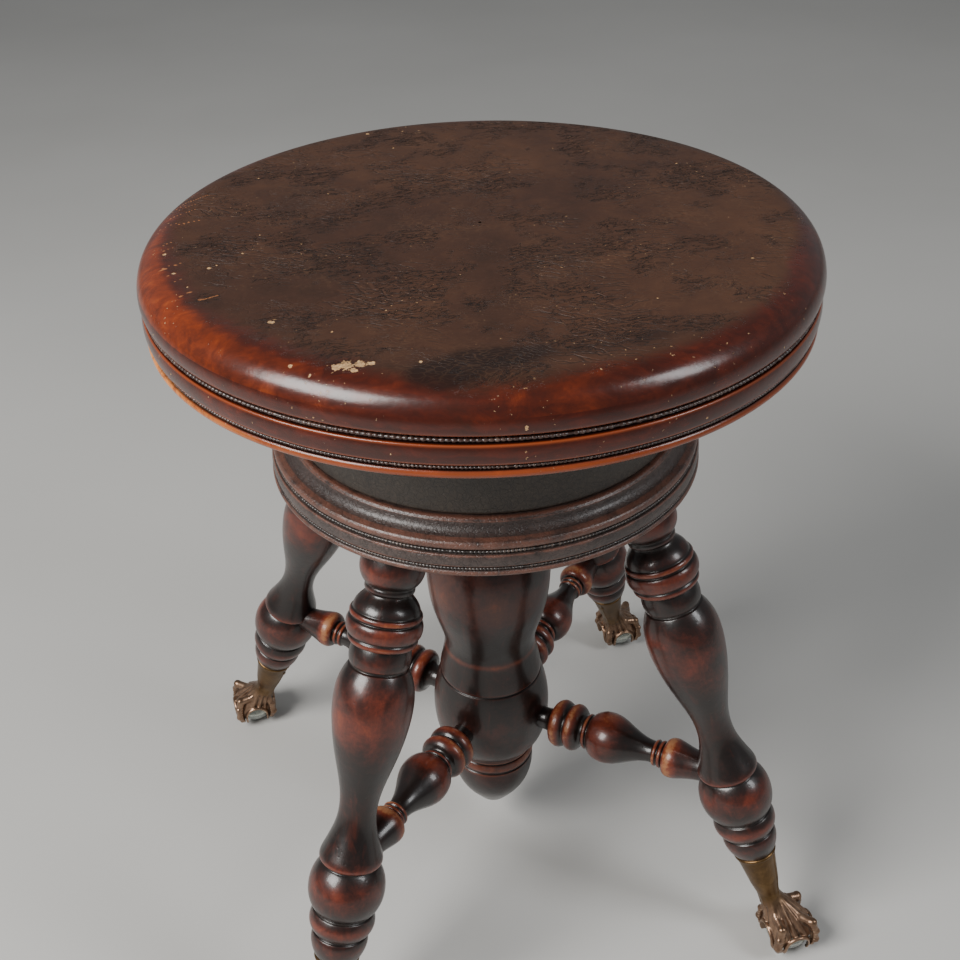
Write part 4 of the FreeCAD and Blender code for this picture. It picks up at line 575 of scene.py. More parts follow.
def seat_material():
    """Brown top under crazed old varnish, worn deep red on the rolled rim, with a painted orange highlight along the
    rim.
    """
    m = Mat("seat_wood")
    P = m.P
    x, y, z = m.xyz(P)
    painted_rim_highlight, dark, chips, scr, worn = (m.attr(k) for k in ("painted_rim_highlight", "dark", "chips", "scratch", "worn"))
    top = m.attr("top")            # 1 on the flat top, 0 over the rolled rim
    # crazing: fine wavy lines, mostly left to right as the seat stands
    warp = m.vscale(m.noise(P, 24, 4, 0.6, colour=True), 0.022)
    W = m.vadd(P, warp)
    turned = m.map(W, (1, 1, 1), rot=(0, 0, math.radians(17)))
    lines1 = m.voronoi(m.map(turned, (0.30, 1.0, 0.02)), 210, "DISTANCE_TO_EDGE")
    lines2 = m.voronoi(m.map(turned, (0.42, 1.0, 0.02), (3, 7, 0)), 480, "DISTANCE_TO_EDGE")
    c1 = m.sub(1.0, m.step(lines1, 0.0, 0.085))
    c2 = m.sub(1.0, m.step(lines2, 0.0, 0.11))
    crease = m.noise(m.map(W, (0.22, 1.0, 1.0), (5, 2, 0), (0, 0, math.radians(17))), 330, 5, 0.62, 1.1)
    crease = m.mul(m.sub(1.0, m.step(m.math("ABSOLUTE", m.sub(crease, 0.5)), 0.004, 0.024)), m.step(m.noise(P, 27, 4, 0.6), 0.46, 0.60))
    where1 = m.step(m.noise(P, 21, 4, 0.6), 0.47, 0.62)
    where2 = m.step(m.noise(m.vadd(P, (3.0, 1.0, 0.0)), 30, 4, 0.6), 0.46, 0.64)
    craze = m.mul(m.math("MAXIMUM", crease, m.math("MAXIMUM", m.mul(c1, where1), m.mul(m.mul(c2, where2), 0.4))), top)
    # colour
    cloud = m.noise(P, 11, 4, 0.55, 0.3)
    mott = m.noise(P, 60, 6, 0.66, 0.6)
    fine = m.noise(P, 380, 5, 0.66)
    grain = m.noise(m.map(turned, (0.10, 1.0, 1.0)), 210, 6, 0.62, 0.3)
    brown = m.ramp(m.addv(m.mul(cloud, 0.7), m.mul(mott, 0.45)),
                   [(0.30, lin(42, 26, 18)), (0.52, lin(61, 38, 27)), (0.72, lin(76, 49, 34)), (0.95, lin(92, 60, 41))])
    brown = m.mix(m.mul(m.step(fine, 0.5, 0.72), 0.16), brown, lin(92, 66, 48))
    ring = m.mul(m.step(m.noise(m.map(P, (1, 1, 6.0)), 34, 4, 0.6, 1.2), 0.40, 0.66), 1.0)
    red = m.ramp(m.addv(m.mul(grain, 0.55), m.mul(mott, 0.5)),
                 [(0.25, lin(34, 11, 6)), (0.50, lin(64, 20, 9)), (0.75, lin(94, 32, 13)), (0.95, lin(122, 50, 20))])
    deep = m.mix(m.mul(ring, 0.45), red, lin(46, 16, 10))
    # bright orange colours of the painted rim highlight
    orange = m.ramp(m.addv(m.mul(grain, 0.6), m.mul(mott, 0.42)),
                    [(0.25, lin(80, 28, 10)), (0.55, lin(132, 52, 16)), (0.85, lin(182, 90, 33))])
    # rim: deep red, with the painted orange highlight laid over it by the highlight mask
    rim = m.mix(m.math("MULTIPLY", m.step(m.addv(painted_rim_highlight, m.mul(m.sub(mott, 0.5), 0.9)), 0.30, 1.30), 0.78, clamp=True), deep, orange)
    blend = m.addv(m.sub(1.0, top), m.addv(m.mul(m.sub(mott, 0.5), 0.75), m.mul(m.sub(cloud, 0.5), 0.9)))
    col = m.mix(m.step(blend, 0.22, 1.0), brown, rim)
    col = m.mix(m.math("MULTIPLY", m.step(m.addv(dark, m.mul(m.sub(mott, 0.5), 0.8)), 0.35, 0.8), 0.85), col, lin(28, 15, 11))
    cav = m.attr("cavity")
    col = m.mix(m.mul(cav, 0.85), col, lin(24, 14, 11))
    col = m.mix(m.mul(m.step(m.attr("edge"), 0.25, 0.9), 0.45), col, lin(176, 84, 40))
    col = m.mix(m.mul(craze, 0.20), col, lin(24, 14, 10))
    pale = m.mul(m.mul(c2, m.step(m.noise(m.vadd(P, (1.0, 5.0, 0.0)), 18, 3, 0.6), 0.50, 0.66)), top)
    col = m.mix(m.mul(pale, 0.16), col, lin(124, 92, 66))
    # specks, chips and scratches down to bare wood
    speck = m.mul(m.step(m.noise(P, 520, 2, 0.5), 0.70, 0.735), m.step(m.noise(P, 24, 3, 0.6), 0.47, 0.60))
    chip = m.step(m.addv(chips, m.mul(m.sub(m.noise(P, 420, 4, 0.7, 0.4), 0.5), 1.6)), 0.70, 0.78)
    scratch = m.step(m.addv(scr, m.mul(m.sub(m.noise(P, 700, 3, 0.6), 0.5), 0.9)), 0.52, 0.72)
    bare = m.math("MAXIMUM", chip, m.mul(speck, 0.75))
    tanc = m.ramp(m.noise(P, 900, 4, 0.6), [(0.3, lin(150, 106, 66)), (0.7, lin(214, 178, 132))])
    col = m.mix(m.mul(scratch, 0.55), col, lin(196, 128, 78))
    col = m.mix(m.mul(worn, m.step(m.addv(mott, m.mul(fine, 0.5)), 0.55, 0.85)), col, lin(214, 134, 66))
    col = m.mix(bare, col, tanc)
    gloss = m.mixf(m.step(blend, 0.2, 0.9), 0.45, 0.25)
    rough = m.addv(gloss, m.addv(m.mul(m.sub(mott, 0.5), 0.16), m.addv(m.mul(craze, 0.18), m.mul(bare, 0.35))))
    rough = m.math("MAXIMUM", rough, 0.06)
    h = m.addv(m.mul(craze, -1.0), m.mul(fine, 0.22))
    h = m.addv(h, m.mul(m.noise(P, 70, 4, 0.6), 0.9))
    h = m.addv(h, m.mul(bare, -1.2))
    h = m.addv(h, m.mul(grain, 0.22))
    nrm = m.bump(h, 0.60, 0.00040)
    nrm = m.bump(m.mul(craze, -1.0), 0.7, 0.00038, nrm)
    coat = m.mul(m.step(blend, 0.3, 0.9), 0.30)
    return m.finish(Base_Color=col, Roughness=rough, Normal=nrm, Coat_Weight=coat, Coat_Roughness=0.21,
                    Specular_IOR_Level=0.36, IOR=1.5)


def dry_wood(name, base, light, rust, sheen=0.46):
    """Dark, dry, crazed finish with a mealy surface and rubbed arrises; the same edge colour also carries the cap's
    painted highlight line at the lip.
    """
    m = Mat(name)
    P = m.P
    big = m.noise(P, 14, 4, 0.6, 0.4)
    mid = m.noise(P, 90, 6, 0.68, 0.5)
    fine = m.noise(P, 620, 5, 0.72)
    craq = m.voronoi(m.vadd(P, m.vscale(m.noise(P, 160, 3, 0.6, colour=True), 0.006)), 330, "DISTANCE_TO_EDGE")
    e, c = m.attr("edge"), m.attr("cavity")
    col = m.ramp(m.addv(m.mul(big, 0.45), m.mul(mid, 0.6)), [(0.30, base), (0.75, light)])
    col = m.mix(m.mul(m.step(fine, 0.52, 0.74), 0.42), col, lin(96, 84, 72))
    col = m.mix(m.mul(m.step(fine, 0.30, 0.42), 0.0), col, lin(10, 8, 7))
    col = m.mix(m.mul(m.sub(1.0, m.step(craq, 0.0, 0.10)), 0.45), col, lin(14, 11, 9))
    arris = m.step(m.addv(e, m.mul(m.sub(mid, 0.5), 1.3)), 0.45, 0.95)
    col = m.mix(m.mul(arris, 0.62), col, rust)
    col = m.mix(m.mul(c, 0.7), col, lin(14, 11, 10))
    rough = m.addv(sheen, m.addv(m.mul(m.sub(mid, 0.5), 0.30), m.mul(c, 0.2)))
    h = m.addv(m.mul(fine, 0.8), m.addv(m.mul(mid, 0.9), m.mul(m.step(craq, 0.0, 0.12), 0.5)))
    nrm = m.bump(h, 0.60, 0.00038)
    return m.finish(Base_Color=col, Roughness=rough, Normal=nrm, Coat_Weight=0.28, Coat_Roughness=0.28, IOR=1.48)


SEAT_WOOD = seat_material()
CAP_WOOD = dry_wood("cap_wood", lin(44, 34, 32), lin(84, 69, 64), lin(118, 74, 58), sheen=0.37)
# painted shade: the collar's colours are set dark to stand for the shade under the seat
COLLAR_SHADE_WOOD = dry_wood("collar_wood_painted_shade", lin(36, 30, 26), lin(64, 55, 46), lin(84, 64, 48), sheen=0.58)


def bead_material(name, tone):
    m = Mat(name)
    P = m.P
    n = m.noise(P, 260, 5, 0.65)
    big = m.noise(P, 30, 3, 0.6)
    col = m.ramp(m.addv(m.mul(n, 0.7), m.mul(big, 0.3)), [(0.3, lin(20, 14, 13)), (0.7, tone)])
    # painted highlight: the bead tips are lightened to a pale sparkle
    painted_tip_glint = m.step(m.attr("edge"), 0.35, 1.0)
    col = m.mix(m.mul(painted_tip_glint, m.mul(m.step(big, 0.42, 0.62), 0.5)), col, lin(118, 100, 88))
    rough = m.addv(0.26, m.mul(n, 0.25))
    nrm = m.bump(n, 0.4, 0.0002)
    return m.finish(Base_Color=col, Roughness=rough, Normal=nrm, Coat_Weight=0.5, Coat_Roughness=0.2)


SEAT_BEAD = bead_material("seat_bead_wood", lin(74, 46, 36))
CAP_BEAD = bead_material("cap_bead_wood", lin(58, 50, 46))


def bronze_material():
    m = Mat("bronze")
    P = m.P
    big = m.noise(P, 60, 4, 0.6, 0.5)
    mid = m.noise(P, 260, 5, 0.66, 0.4)
    fine = m.noise(P, 1100, 4, 0.7)
    c, e, pink = m.attr("cavity"), m.attr("edge"), m.attr("claw")
    smooth = m.ramp(m.addv(m.mul(big, 0.7), m.mul(mid, 0.4)),
                    [(0.30, lin(70, 52, 33)), (0.55, lin(104, 80, 52)), (0.85, lin(140, 112, 76))])
    claws = m.ramp(m.addv(m.mul(big, 0.6), m.mul(mid, 0.5)),
                   [(0.30, lin(92, 68, 54)), (0.55, lin(140, 112, 92)), (0.85, lin(186, 156, 132))])
    col = m.mix(pink, smooth, claws)
    patina = m.step(m.addv(c, m.mul(m.sub(mid, 0.5), 0.7)), 0.28, 0.85)
    col = m.mix(m.mul(patina, 0.88), col, lin(40, 30, 22))
    col = m.mix(m.mul(m.step(m.addv(e, m.mul(m.sub(fine, 0.5), 0.6)), 0.35, 0.95), 0.7), col, lin(226, 196, 164))
    metal = m.mixf(patina, 0.95, 0.45)
    rough = m.addv(m.mixf(patina, 0.34, 0.6), m.mul(m.sub(mid, 0.5), 0.22))
    h = m.addv(m.mul(mid, 0.7), m.mul(fine, 0.4))
    nrm = m.bump(h, 0.45, 0.00025)
    return m.finish(Base_Color=col, Metallic=metal, Roughness=rough, Normal=nrm)


def glass_material():
    m = Mat("ball_glass")
    P = m.P
    n = m.noise(P, 90, 3, 0.5, 0.6)
    grime = m.step(m.noise(P, 220, 5, 0.65), 0.52, 0.78)
    col = m.mix(m.mul(grime, 0.35), lin(206, 212, 200), lin(150, 148, 132))
    rough = m.addv(0.05, m.mul(grime, 0.22))
    nrm = m.bump(n, 0.25, 0.0006)
    return m.finish(Base_Color=col, Roughness=rough, Normal=nrm, IOR=1.5, Transmission_Weight=0.9,
                    Coat_Weight=0.3, Coat_Roughness=0.05)


def metal_material(name, dark, light, rough=0.38, metallic=0.9, ringed=True, rusty=0.25):
    m = Mat(name)
    P = m.P
    big = m.noise(P, 40, 4, 0.6)
    fine = m.noise(P, 900, 5, 0.7)
    lathe_marks = m.noise(m.map(P, (0.4, 0.4, 12.0) if ringed else (1, 1, 1)), 260, 4, 0.6)
    col = m.ramp(m.addv(m.mul(big, 0.5), m.mul(lathe_marks, 0.5)), [(0.3, dark), (0.75, light)])
    rust = m.step(m.noise(P, 130, 6, 0.7, 0.5), 0.62 - rusty * 0.2, 0.80)
    col = m.mix(m.mul(rust, rusty), col, lin(92, 54, 34))
    r = m.addv(rough, m.addv(m.mul(m.sub(fine, 0.5), 0.3), m.mul(rust, 0.2)))
    nrm = m.bump(m.addv(m.mul(fine, 0.6), m.mul(lathe_marks, 0.8)), 0.35, 0.0002)
    return m.finish(Base_Color=col, Metallic=metallic, Roughness=r, Normal=nrm)


BRONZE = bronze_material()
GLASS = glass_material()
STEEL = metal_material("steel", lin(92, 88, 82), lin(150, 146, 138), 0.32, 0.95)
SCREW_STEEL = metal_material("screw_steel", lin(86, 80, 74), lin(140, 134, 124), 0.4, 0.9, False, 0.4)
IRON = metal_material("cast_iron", lin(28, 27, 26), lin(52, 49, 46), 0.58, 0.55, False, 0.3)
WASHER = metal_material("washer_iron", lin(40, 38, 36), lin(74, 70, 66), 0.5, 0.7, False, 0.3)

# ---------------------------------------------------------------------------
# seat
# ---------------------------------------------------------------------------
def arc_noise(t, seeds):
    w = np.zeros_like(t)
    for a, p, k in seeds:
        w += k * np.sin(a * t + p)
    return w


def build_seat():
    step = 0.6
    outer = expand(SEAT, 0.25)
    outer = outer[1:]
    outer = outer[outer[:, 0] > 150.0]
    outer = soften(outer, 0.25, 0.22)
    keep = resample(outer, 0.5)
    # denser over the rim, wider steps across the flat faces
    first = keep[0]
    inner_bottom = np.c_[np.linspace(0.02, first[0], 40, endpoint=False), np.full(40, 0.0)]
    last = keep[-1]
    inner_top = np.c_[np.arange(last[0] - 0.9, 0.5, -0.9), np.zeros(len(np.arange(last[0] - 0.9, 0.5, -0.9)))]
    inner_top[:, 1] = 42.6
    pts = np.vstack([inner_bottom, keep, inner_top])
    seg = 720
    v, q = lathe_arrays(pts, seg)
    # shape notes for the finish, worked out on the outline
    fine = np.zeros(len(pts))
    broad = np.zeros(len(pts))
    k = slice(40, 40 + len(keep))
    rr = keep[:, 0]
    fine[k] = rr - gauss(rr, 1.3 / 0.5)
    edge = np.clip(fine / 0.35, 0, 1) * (np.arange(len(pts)) < 40 + len(keep) - 40)
    cavity = np.clip(-fine / 0.5, 0, 1)
    # the grooves' floors themselves
    groove = ((pts[:, 0] < 176.1) & (pts[:, 0] > 173) & (pts[:, 1] > 2.0) & (pts[:, 1] < 22.0)).astype(float)
    cavity = np.maximum(cavity, groove)
    V = v.reshape(len(pts), seg, 3)
    X, Y = V[..., 0] / MM, V[..., 1] / MM
    R = np.hypot(X, Y)
    T = np.arctan2(Y, X)
    Zl = V[..., 2] / MM
    deg = np.degrees(T)
    # hand-made unevenness: a slightly dished, not quite true top
    lowf = 0.22 * np.sin(2 * T + 0.7) + 0.16 * np.sin(3 * T + 2.1) + 0.10 * np.sin(5 * T + 0.4)
    upper = np.clip((Zl - 32) / 9.0, 0, 1)
    V[..., 2] += MM * upper * (lowf * np.clip(R / 178, 0, 1) * 0.6 - 0.35 * (1 - np.clip(R / 150, 0, 1) ** 2))

    def bell(d, w):
        d = (d + 180) % 360 - 180
        return np.exp(-0.5 * (d / w) ** 2)

    reach = 171.0 - 6.0 * bell(deg + 160, 40) - 3.0 * bell(deg + 70, 36) + arc_noise(T, ((3, 0.4, 2.2), (7, 1.9, 1.5), (13, 0.2, 0.9)))
    top = np.clip((reach - R) / (10.0 + 12.0 * bell(deg + 160, 50)) + 0.12, 0, 1)
    top = top * (Zl > 34)
    # painted highlight: a mask at given angles round the rim and along its bottom edge, where the colour turns bright
    # orange as if lit
    painted_rim_highlight = 0.50 * bell(deg + 93, 8) + 0.30 * bell(deg + 78, 12) + 0.80 * bell(deg + 158, 18) + 0.72 * bell(deg - 176, 16) \
        + 0.40 * bell(deg - 120, 40) + 0.30 * bell(deg + 125, 14) + 0.25 * bell(deg - 60, 30)
    painted_rim_highlight *= np.clip((R - 158) / 9.0, 0, 1)
    painted_rim_highlight *= np.where(Zl > 30, 1.0, 0.30)
    painted_rim_highlight = np.where(Zl < 5.0, 0.12 + 0.40 * bell(deg + 178, 22) + 0.40 * bell(deg + 95, 26), painted_rim_highlight)

    def blob(cx, cy, rad, soft=0.5):
        d = np.hypot(X - cx - 1.6, Y - cy - 6.2) / rad
        return np.clip((1.0 - d) / soft, 0, 1)

    def lump(cx, cy, rx, ry, turn=0.0):
        a = math.radians(turn)
        dx, dy = X - cx - 1.6, Y - cy - 6.2
        u = dx * math.cos(a) + dy * math.sin(a)
        w = -dx * math.sin(a) + dy * math.cos(a)
        return np.exp(-0.5 * ((u / rx) ** 2 + (w / ry) ** 2))

    up_face = (Zl > 24)
    dark = 0.95 * lump(-61, -158, 13, 7, -22) + 0.75 * lump(-40, -150, 16, 8, -14) + 0.5 * lump(-10, -150, 30, 9, -4) \
        + 0.6 * lump(-146, -56, 10, 16, 20) + 0.45 * lump(45, -150, 26, 9, 14) + 0.4 * lump(-100, -122, 16, 8, -38)
    dark = dark * up_face
    chips = np.zeros_like(R)
    for cx, cy, rad in ((-96.5, -137.0, 5.6), (-90.5, -138.0, 4.6), (-101, -136.5, 3.6), (-86, -138.6, 2.6), (-94, -141.5, 2.8),
                        (-121.7, -87.3, 2.6), (-119.6, -85.0, 1.7), (-65.9, -143.9, 1.6), (-143, -19, 2.0), (-139, -17, 1.4),
                        (-119, -127.0, 1.6), (-112, -136.0, 1.4), (-97, -105, 1.5), (-125, -6.5, 1.7), (-95, -4, 1.2),
                        (-163, 5, 1.7), (-160, -20, 1.8), (-155, -38, 1.6), (52, -118, 1.3), (112, -92, 1.5), (-20, 120, 1.6),
                        (70, 88, 1.5), (-70, 60, 1.3), (20, -160, 1.2), (128, 40, 1.6), (-30, 150, 1.9), (-104, 96, 1.6)):
        chips = np.maximum(chips, blob(cx, cy, rad * 1.25, 0.75))
    chips *= up_face
    for ang, zz, rad in ((-99.6, 25.5, 2.4), (-118, 12, 1.2), (-72, 11, 1.3), (-55, 26, 1.5), (-140, 12.5, 1.2),
                         (165, 24, 2.0), (60, 12, 1.5), (100, 27, 1.8), (20, 13, 1.6), (-20, 26, 1.3)):
        dd = np.hypot(((deg - ang + 180) % 360 - 180) * math.pi / 180 * 178, Zl - zz)
        chips = np.maximum(chips, np.clip((1 - dd / rad) / 0.7, 0, 1) * (R > 172))
    scr = np.zeros_like(R)

    def stroke(x0, y0, x1, y1, w=0.45, power=1.0):
        nonlocal scr
        x0, y0, x1, y1 = x0 + 1.6, y0 + 6.2, x1 + 1.6, y1 + 6.2
        dx, dy = x1 - x0, y1 - y0
        L2 = dx * dx + dy * dy
        t = np.clip(((X - x0) * dx + (Y - y0) * dy) / L2, 0, 1)
        d = np.hypot(X - x0 - t * dx, Y - y0 - t * dy)
        scr = np.maximum(scr, np.clip(1.25 - d / w, 0, 1) * power * up_face)

    for k in range(26):     # the rubbed short strokes over the left of the rim
        a = math.radians(150 + 55 * hash01(k, 3))
        r0 = 158 + 12 * hash01(k, 5)
        x0, y0 = r0 * math.cos(a), r0 * math.sin(a)
        ang = math.radians(8 + 26 * hash01(k, 7))
        L = 4 + 9 * hash01(k, 9)
        stroke(x0, y0, x0 + L * math.cos(ang), y0 + L * math.sin(ang), 0.6, 0.55 + 0.5 * hash01(k, 11))
    for x0, y0, x1, y1 in ((-96, -124, -86, -131), (-74, -136, -66, -131), (-108, -112, -98, -108), (-64, -148, -60, -152),
                           (-38, -172, -36, -168), (30, -140, 44, -136), (-20, 40, 10, 46), (60, -40, 82, -30),
                           (-60, 20, -20, 26), (-110, 30, -84, 42), (0, 90, 30, 84), (84, 60, 104, 70)):
        stroke(x0, y0, x1, y1, 0.5, 0.6)
    worn = np.clip(1.3 * bell(deg - 178, 12) * (Zl < 6.5) * (Zl > 0.2) + 0.5 * bell(deg + 160, 14) * (Zl < 3.5), 0, 1)
    # chips are real hollows
    V[..., 2] -= MM * 0.35 * np.clip(chips * 1.2 - 0.35, 0, 1) * up_face
    rep = lambda a: np.repeat(a, seg)
    attrs = {"edge": rep(edge), "cavity": rep(cavity), "top": top.ravel(), "painted_rim_highlight": np.clip(painted_rim_highlight, 0, 1).ravel(),
             "dark": np.clip(dark, 0, 1).ravel(), "chips": chips.ravel(), "scratch": scr.ravel(), "worn": worn.ravel()}
    me = make_mesh("seat_board", V.reshape(-1, 3), q, attrs)
    add("seat_board", me, SEAT_WOOD, "seat", Matrix.Translation((0, 0, 0.4165)), "seat_top")


def bead_ring(name, radius, level, tube, count, mat, body, base_z, seed, squash=0.8, depth=0.42, blanks=0.06):
    """A ring of small pressed beads that lies in a groove, each a little different."""
    per = 6
    around = 10
    seg = count * per
    t = np.arange(seg) / seg * 2 * math.pi
    idx = np.arange(seg) // per
    ph = (np.arange(seg) % per) / per
    amp = np.array([0.55 + 0.45 * hash01(i, seed, 3) if hash01(i, seed, 5) > blanks else 0.12 for i in range(count)])[idx]
    swell = np.sin(ph * math.pi) ** 0.7
    rt = tube * (1 - depth + depth * swell * amp)
    a = np.arange(around) / around * 2 * math.pi
    rr = radius + rt[:, None] * np.cos(a)[None, :]
    zz = level + rt[:, None] * np.sin(a)[None, :] * squash
    x, y = rr * np.cos(t)[:, None], rr * np.sin(t)[:, None]
    v = np.stack([x, y, zz], -1).reshape(-1, 3) * MM
    i, j = np.arange(seg), np.arange(around)
    q = np.stack([(i[:, None] * around + j).ravel(), (((i[:, None] + 1) % seg) * around + j).ravel(),
                  (((i[:, None] + 1) % seg) * around + (j + 1) % around).ravel(),
                  (i[:, None] * around + (j + 1) % around).ravel()], 1)
    edge = np.repeat(swell * amp, around)
    me = make_mesh(name, v, q, {"edge": edge})
    return add(name, me, mat, body, Matrix.Translation((0, 0, base_z)))


build_seat()
bead_ring("seat_beads_upper", 175.7, 19.35, 1.32, 430, SEAT_BEAD, "seat", 0.4165, 2)
bead_ring("seat_beads_lower", 175.6, 5.7, 1.1, 580, SEAT_BEAD, "seat", 0.4165, 4)

# collar: the drum under the seat; its dark olive colour is painted shade from the seat above
step = STEP
ring = [(94, 0, 0), (107.5, 0, 1.5), (109, 1.5, 0), (109, 67.3, 0), (94, 67.3, 0), (94, 0, 0)]
pts = resample(expand(ring, 0.3)[:-1], 0.6)
seg = 360
v, q = lathe_arrays(pts, seg, closed=True, wobble=0.12, seed=3.0)
edge = np.clip(1 - np.abs(pts[:, 1] - 0.6) / 0.9, 0, 1) * (pts[:, 0] > 106)
me = make_mesh("collar_drum", v, q, {"edge": np.repeat(edge, seg), "cavity": np.zeros(len(v))})
add("collar_drum", me, COLLAR_SHADE_WOOD, "seat", Matrix.Translation((0, 0, 0.3492)), "seat_collar")

# cap: the moulded ring, with the recess for the nut's flange
outer = soften(expand(CAP[1:-1], 0.25), 0.25, 0.22)
inner = np.array([(109.2, 27.9), (46.4, 27.9), (46.4, 20.7), (21.4, 20.7), (21.4, 14.5), (30.1, 14.5), (30.1, 0.0), (118.0, 0.0)])
inner = resample(inner, 0.9)
pts = np.vstack([outer, inner[1:-1]])
seg = 720
v, q = lathe_arrays(pts, seg, closed=True, wobble=0.0)
at = lathe_attrs(outer, 0.25, 1)
n_in = len(pts) - len(outer)
edge = np.r_[np.clip((outer[:, 0] - gauss(outer[:, 0], 1.2 / 0.25)) / 0.2, 0, 1), np.zeros(n_in)]
arris = np.exp(-0.5 * ((pts[:, 0] - 110.0) / 1.6) ** 2) * (pts[:, 1] > 26)
# painted highlight: a pale line along the lip just above the upper bead groove
lip_painted_highlight = np.exp(-0.5 * ((pts[:, 1] - 20.2) / 0.7) ** 2) * (pts[:, 0] > 117)
edge = np.maximum(edge * 0.8, np.maximum(arris, 0.8 * lip_painted_highlight))
cavity = np.r_[at["cavity"], np.zeros(n_in)]
me = make_mesh("cap_moulding", v, q, {"edge": np.repeat(edge, seg), "cavity": np.repeat(cavity, seg)})
add("cap_moulding", me, CAP_WOOD, "base", Matrix.Translation((0, 0, 0.3205)), "base_cap")
bead_ring("cap_beads_upper", 120.3, 14.15, 1.1, 372, CAP_BEAD, "base", 0.3205, 6)
bead_ring("cap_beads_lower", 121.55, 4.4, 0.92, 420, CAP_BEAD, "base", 0.3205, 8)

# ---------------------------------------------------------------------------
# column, legs, stretchers
# ---------------------------------------------------------------------------
outer = soften(expand(COLUMN[:-1], 0.25), STEP, 0.20)
outer = outer[outer[:, 0] > 0.3]
bore = resample(np.array([(29.0, 313.7), (21.6, 313.7), (21.6, 264.5), (18.6, 264.5), (18.6, 129.3), (0.0, 129.3)]), 2.0)
pts = np.vstack([[(0.0, 0.0)], outer, bore[1:]])
seg = 160
v, q = lathe_arrays(pts, seg, wobble=0.10, seed=5.0)
bands = ((204, 9, 0.42), (150.5, 1.6, 0.7), (232, 26, 0.20), (96, 20, 0.12), (60, 6, 0.4), (264, 6, 0.3))
at = lathe_attrs(pts[:len(outer) + 1], STEP, seg, bands)
n_in = (len(pts) - len(outer) - 1) * seg
at = {k: np.r_[a, np.zeros(n_in)] for k, a in at.items()}
me = make_mesh("column_turning", v, q, at)
add("column_turning", me, COLUMN_WOOD, "base", Matrix.Translation((0, 0, 0.021)), "centre_column")

SPLAY = math.radians(20.87)
ANGLES = (("front_right", -45.0), ("back_right", 45.0), ("back_left", 135.0), ("front_left", -135.0))


def on_leg(s):
    return Vector((95.0 + math.sin(SPLAY) * s, 0, 320.5 - math.cos(SPLAY) * s)) * MM


outer = soften(expand(LEG, 0.25), STEP, 0.18)
seg = 112
v, q = lathe_arrays(outer, seg, wobble=0.10, seed=1.3)
u = lambda s: 300 - s
bands = ((u(118), 19, 0.50), (u(64), 3.0, 0.18), (u(222), 8, 0.38), (u(250), 3, 0.30), (u(263), 3, 0.25),
         (u(81), 3, 0.14), (u(170), 16, 0.24), (u(30), 8, 0.30))
me = make_mesh("leg_turning", v, q, lathe_attrs(outer, STEP, seg, bands))
me.materials.append(LEG_WOOD)
for corner, ang in ANGLES:
    M = Matrix.Rotation(math.radians(ang), 4, "Z") @ Matrix.Translation(on_leg(289.0)) @ Matrix.Rotation(-SPLAY, 4, "Y")
    spin = Matrix.Rotation(math.radians(37 * (ang / 90.0 + 2)), 4, "Z")
    add("leg_turning_" + corner, me, None, "base", M @ spin, "leg_" + corner)

outer = soften(expand(STRETCHER, 0.25), STEP, 0.18)
seg = 96
v, q = lathe_arrays(outer, seg, wobble=0.08, seed=2.3)
bands = ((62, 2.5, 0.30), (53, 2.5, 0.22), (84, 11, 0.42), (131, 5, 0.62), (72.5, 1.5, 0.45), (120, 2, 0.35), (124, 2, 0.35), (142, 6, 0.34))
me = make_mesh("stretcher_turning", v, q, lathe_attrs(outer, STEP, seg, bands))
me.materials.append(STRETCHER_WOOD)
RISE = math.radians(4.6)
for corner, ang in ANGLES:
    M = Matrix.Rotation(math.radians(ang), 4, "Z") @ Matrix.Translation((0, 0, 0.115)) @ Matrix.Rotation(math.pi / 2 - RISE, 4, "Y")
    spin = Matrix.Rotation(math.radians(53 * (ang / 90.0 + 2)), 4, "Z")
    add("stretcher_turning_" + corner, me, None, "base", M @ spin, "stretcher_" + corner)

# ---------------------------------------------------------------------------
# claw feet: one sculpted casting, drawn in the plane of its leg (mm)
# ---------------------------------------------------------------------------
BALL = np.array([217.7, 0.0, 13.5])


def leg_pt(s):
    return np.array([95.0 + math.sin(SPLAY) * s, 0.0, 320.5 - math.cos(SPLAY) * s])


def smin(a, b, k):
    h = np.clip(0.5 + 0.5 * (b - a) / k, 0, 1)
    return b + (a - b) * h - k * h * (1 - h)


def smax(a, b, k):
    return -smin(-a, -b, k)


def capsule(Q, a, b, ra, rb):
    """A rounded cone between two points."""
    ab = b - a
    L = np.linalg.norm(ab)
    t = np.clip(((Q - a) @ ab) / (L * L), 0, 1)
    d = np.linalg.norm(Q - a - t[..., None] * ab, axis=-1)
    return d - (ra + (rb - ra) * t)


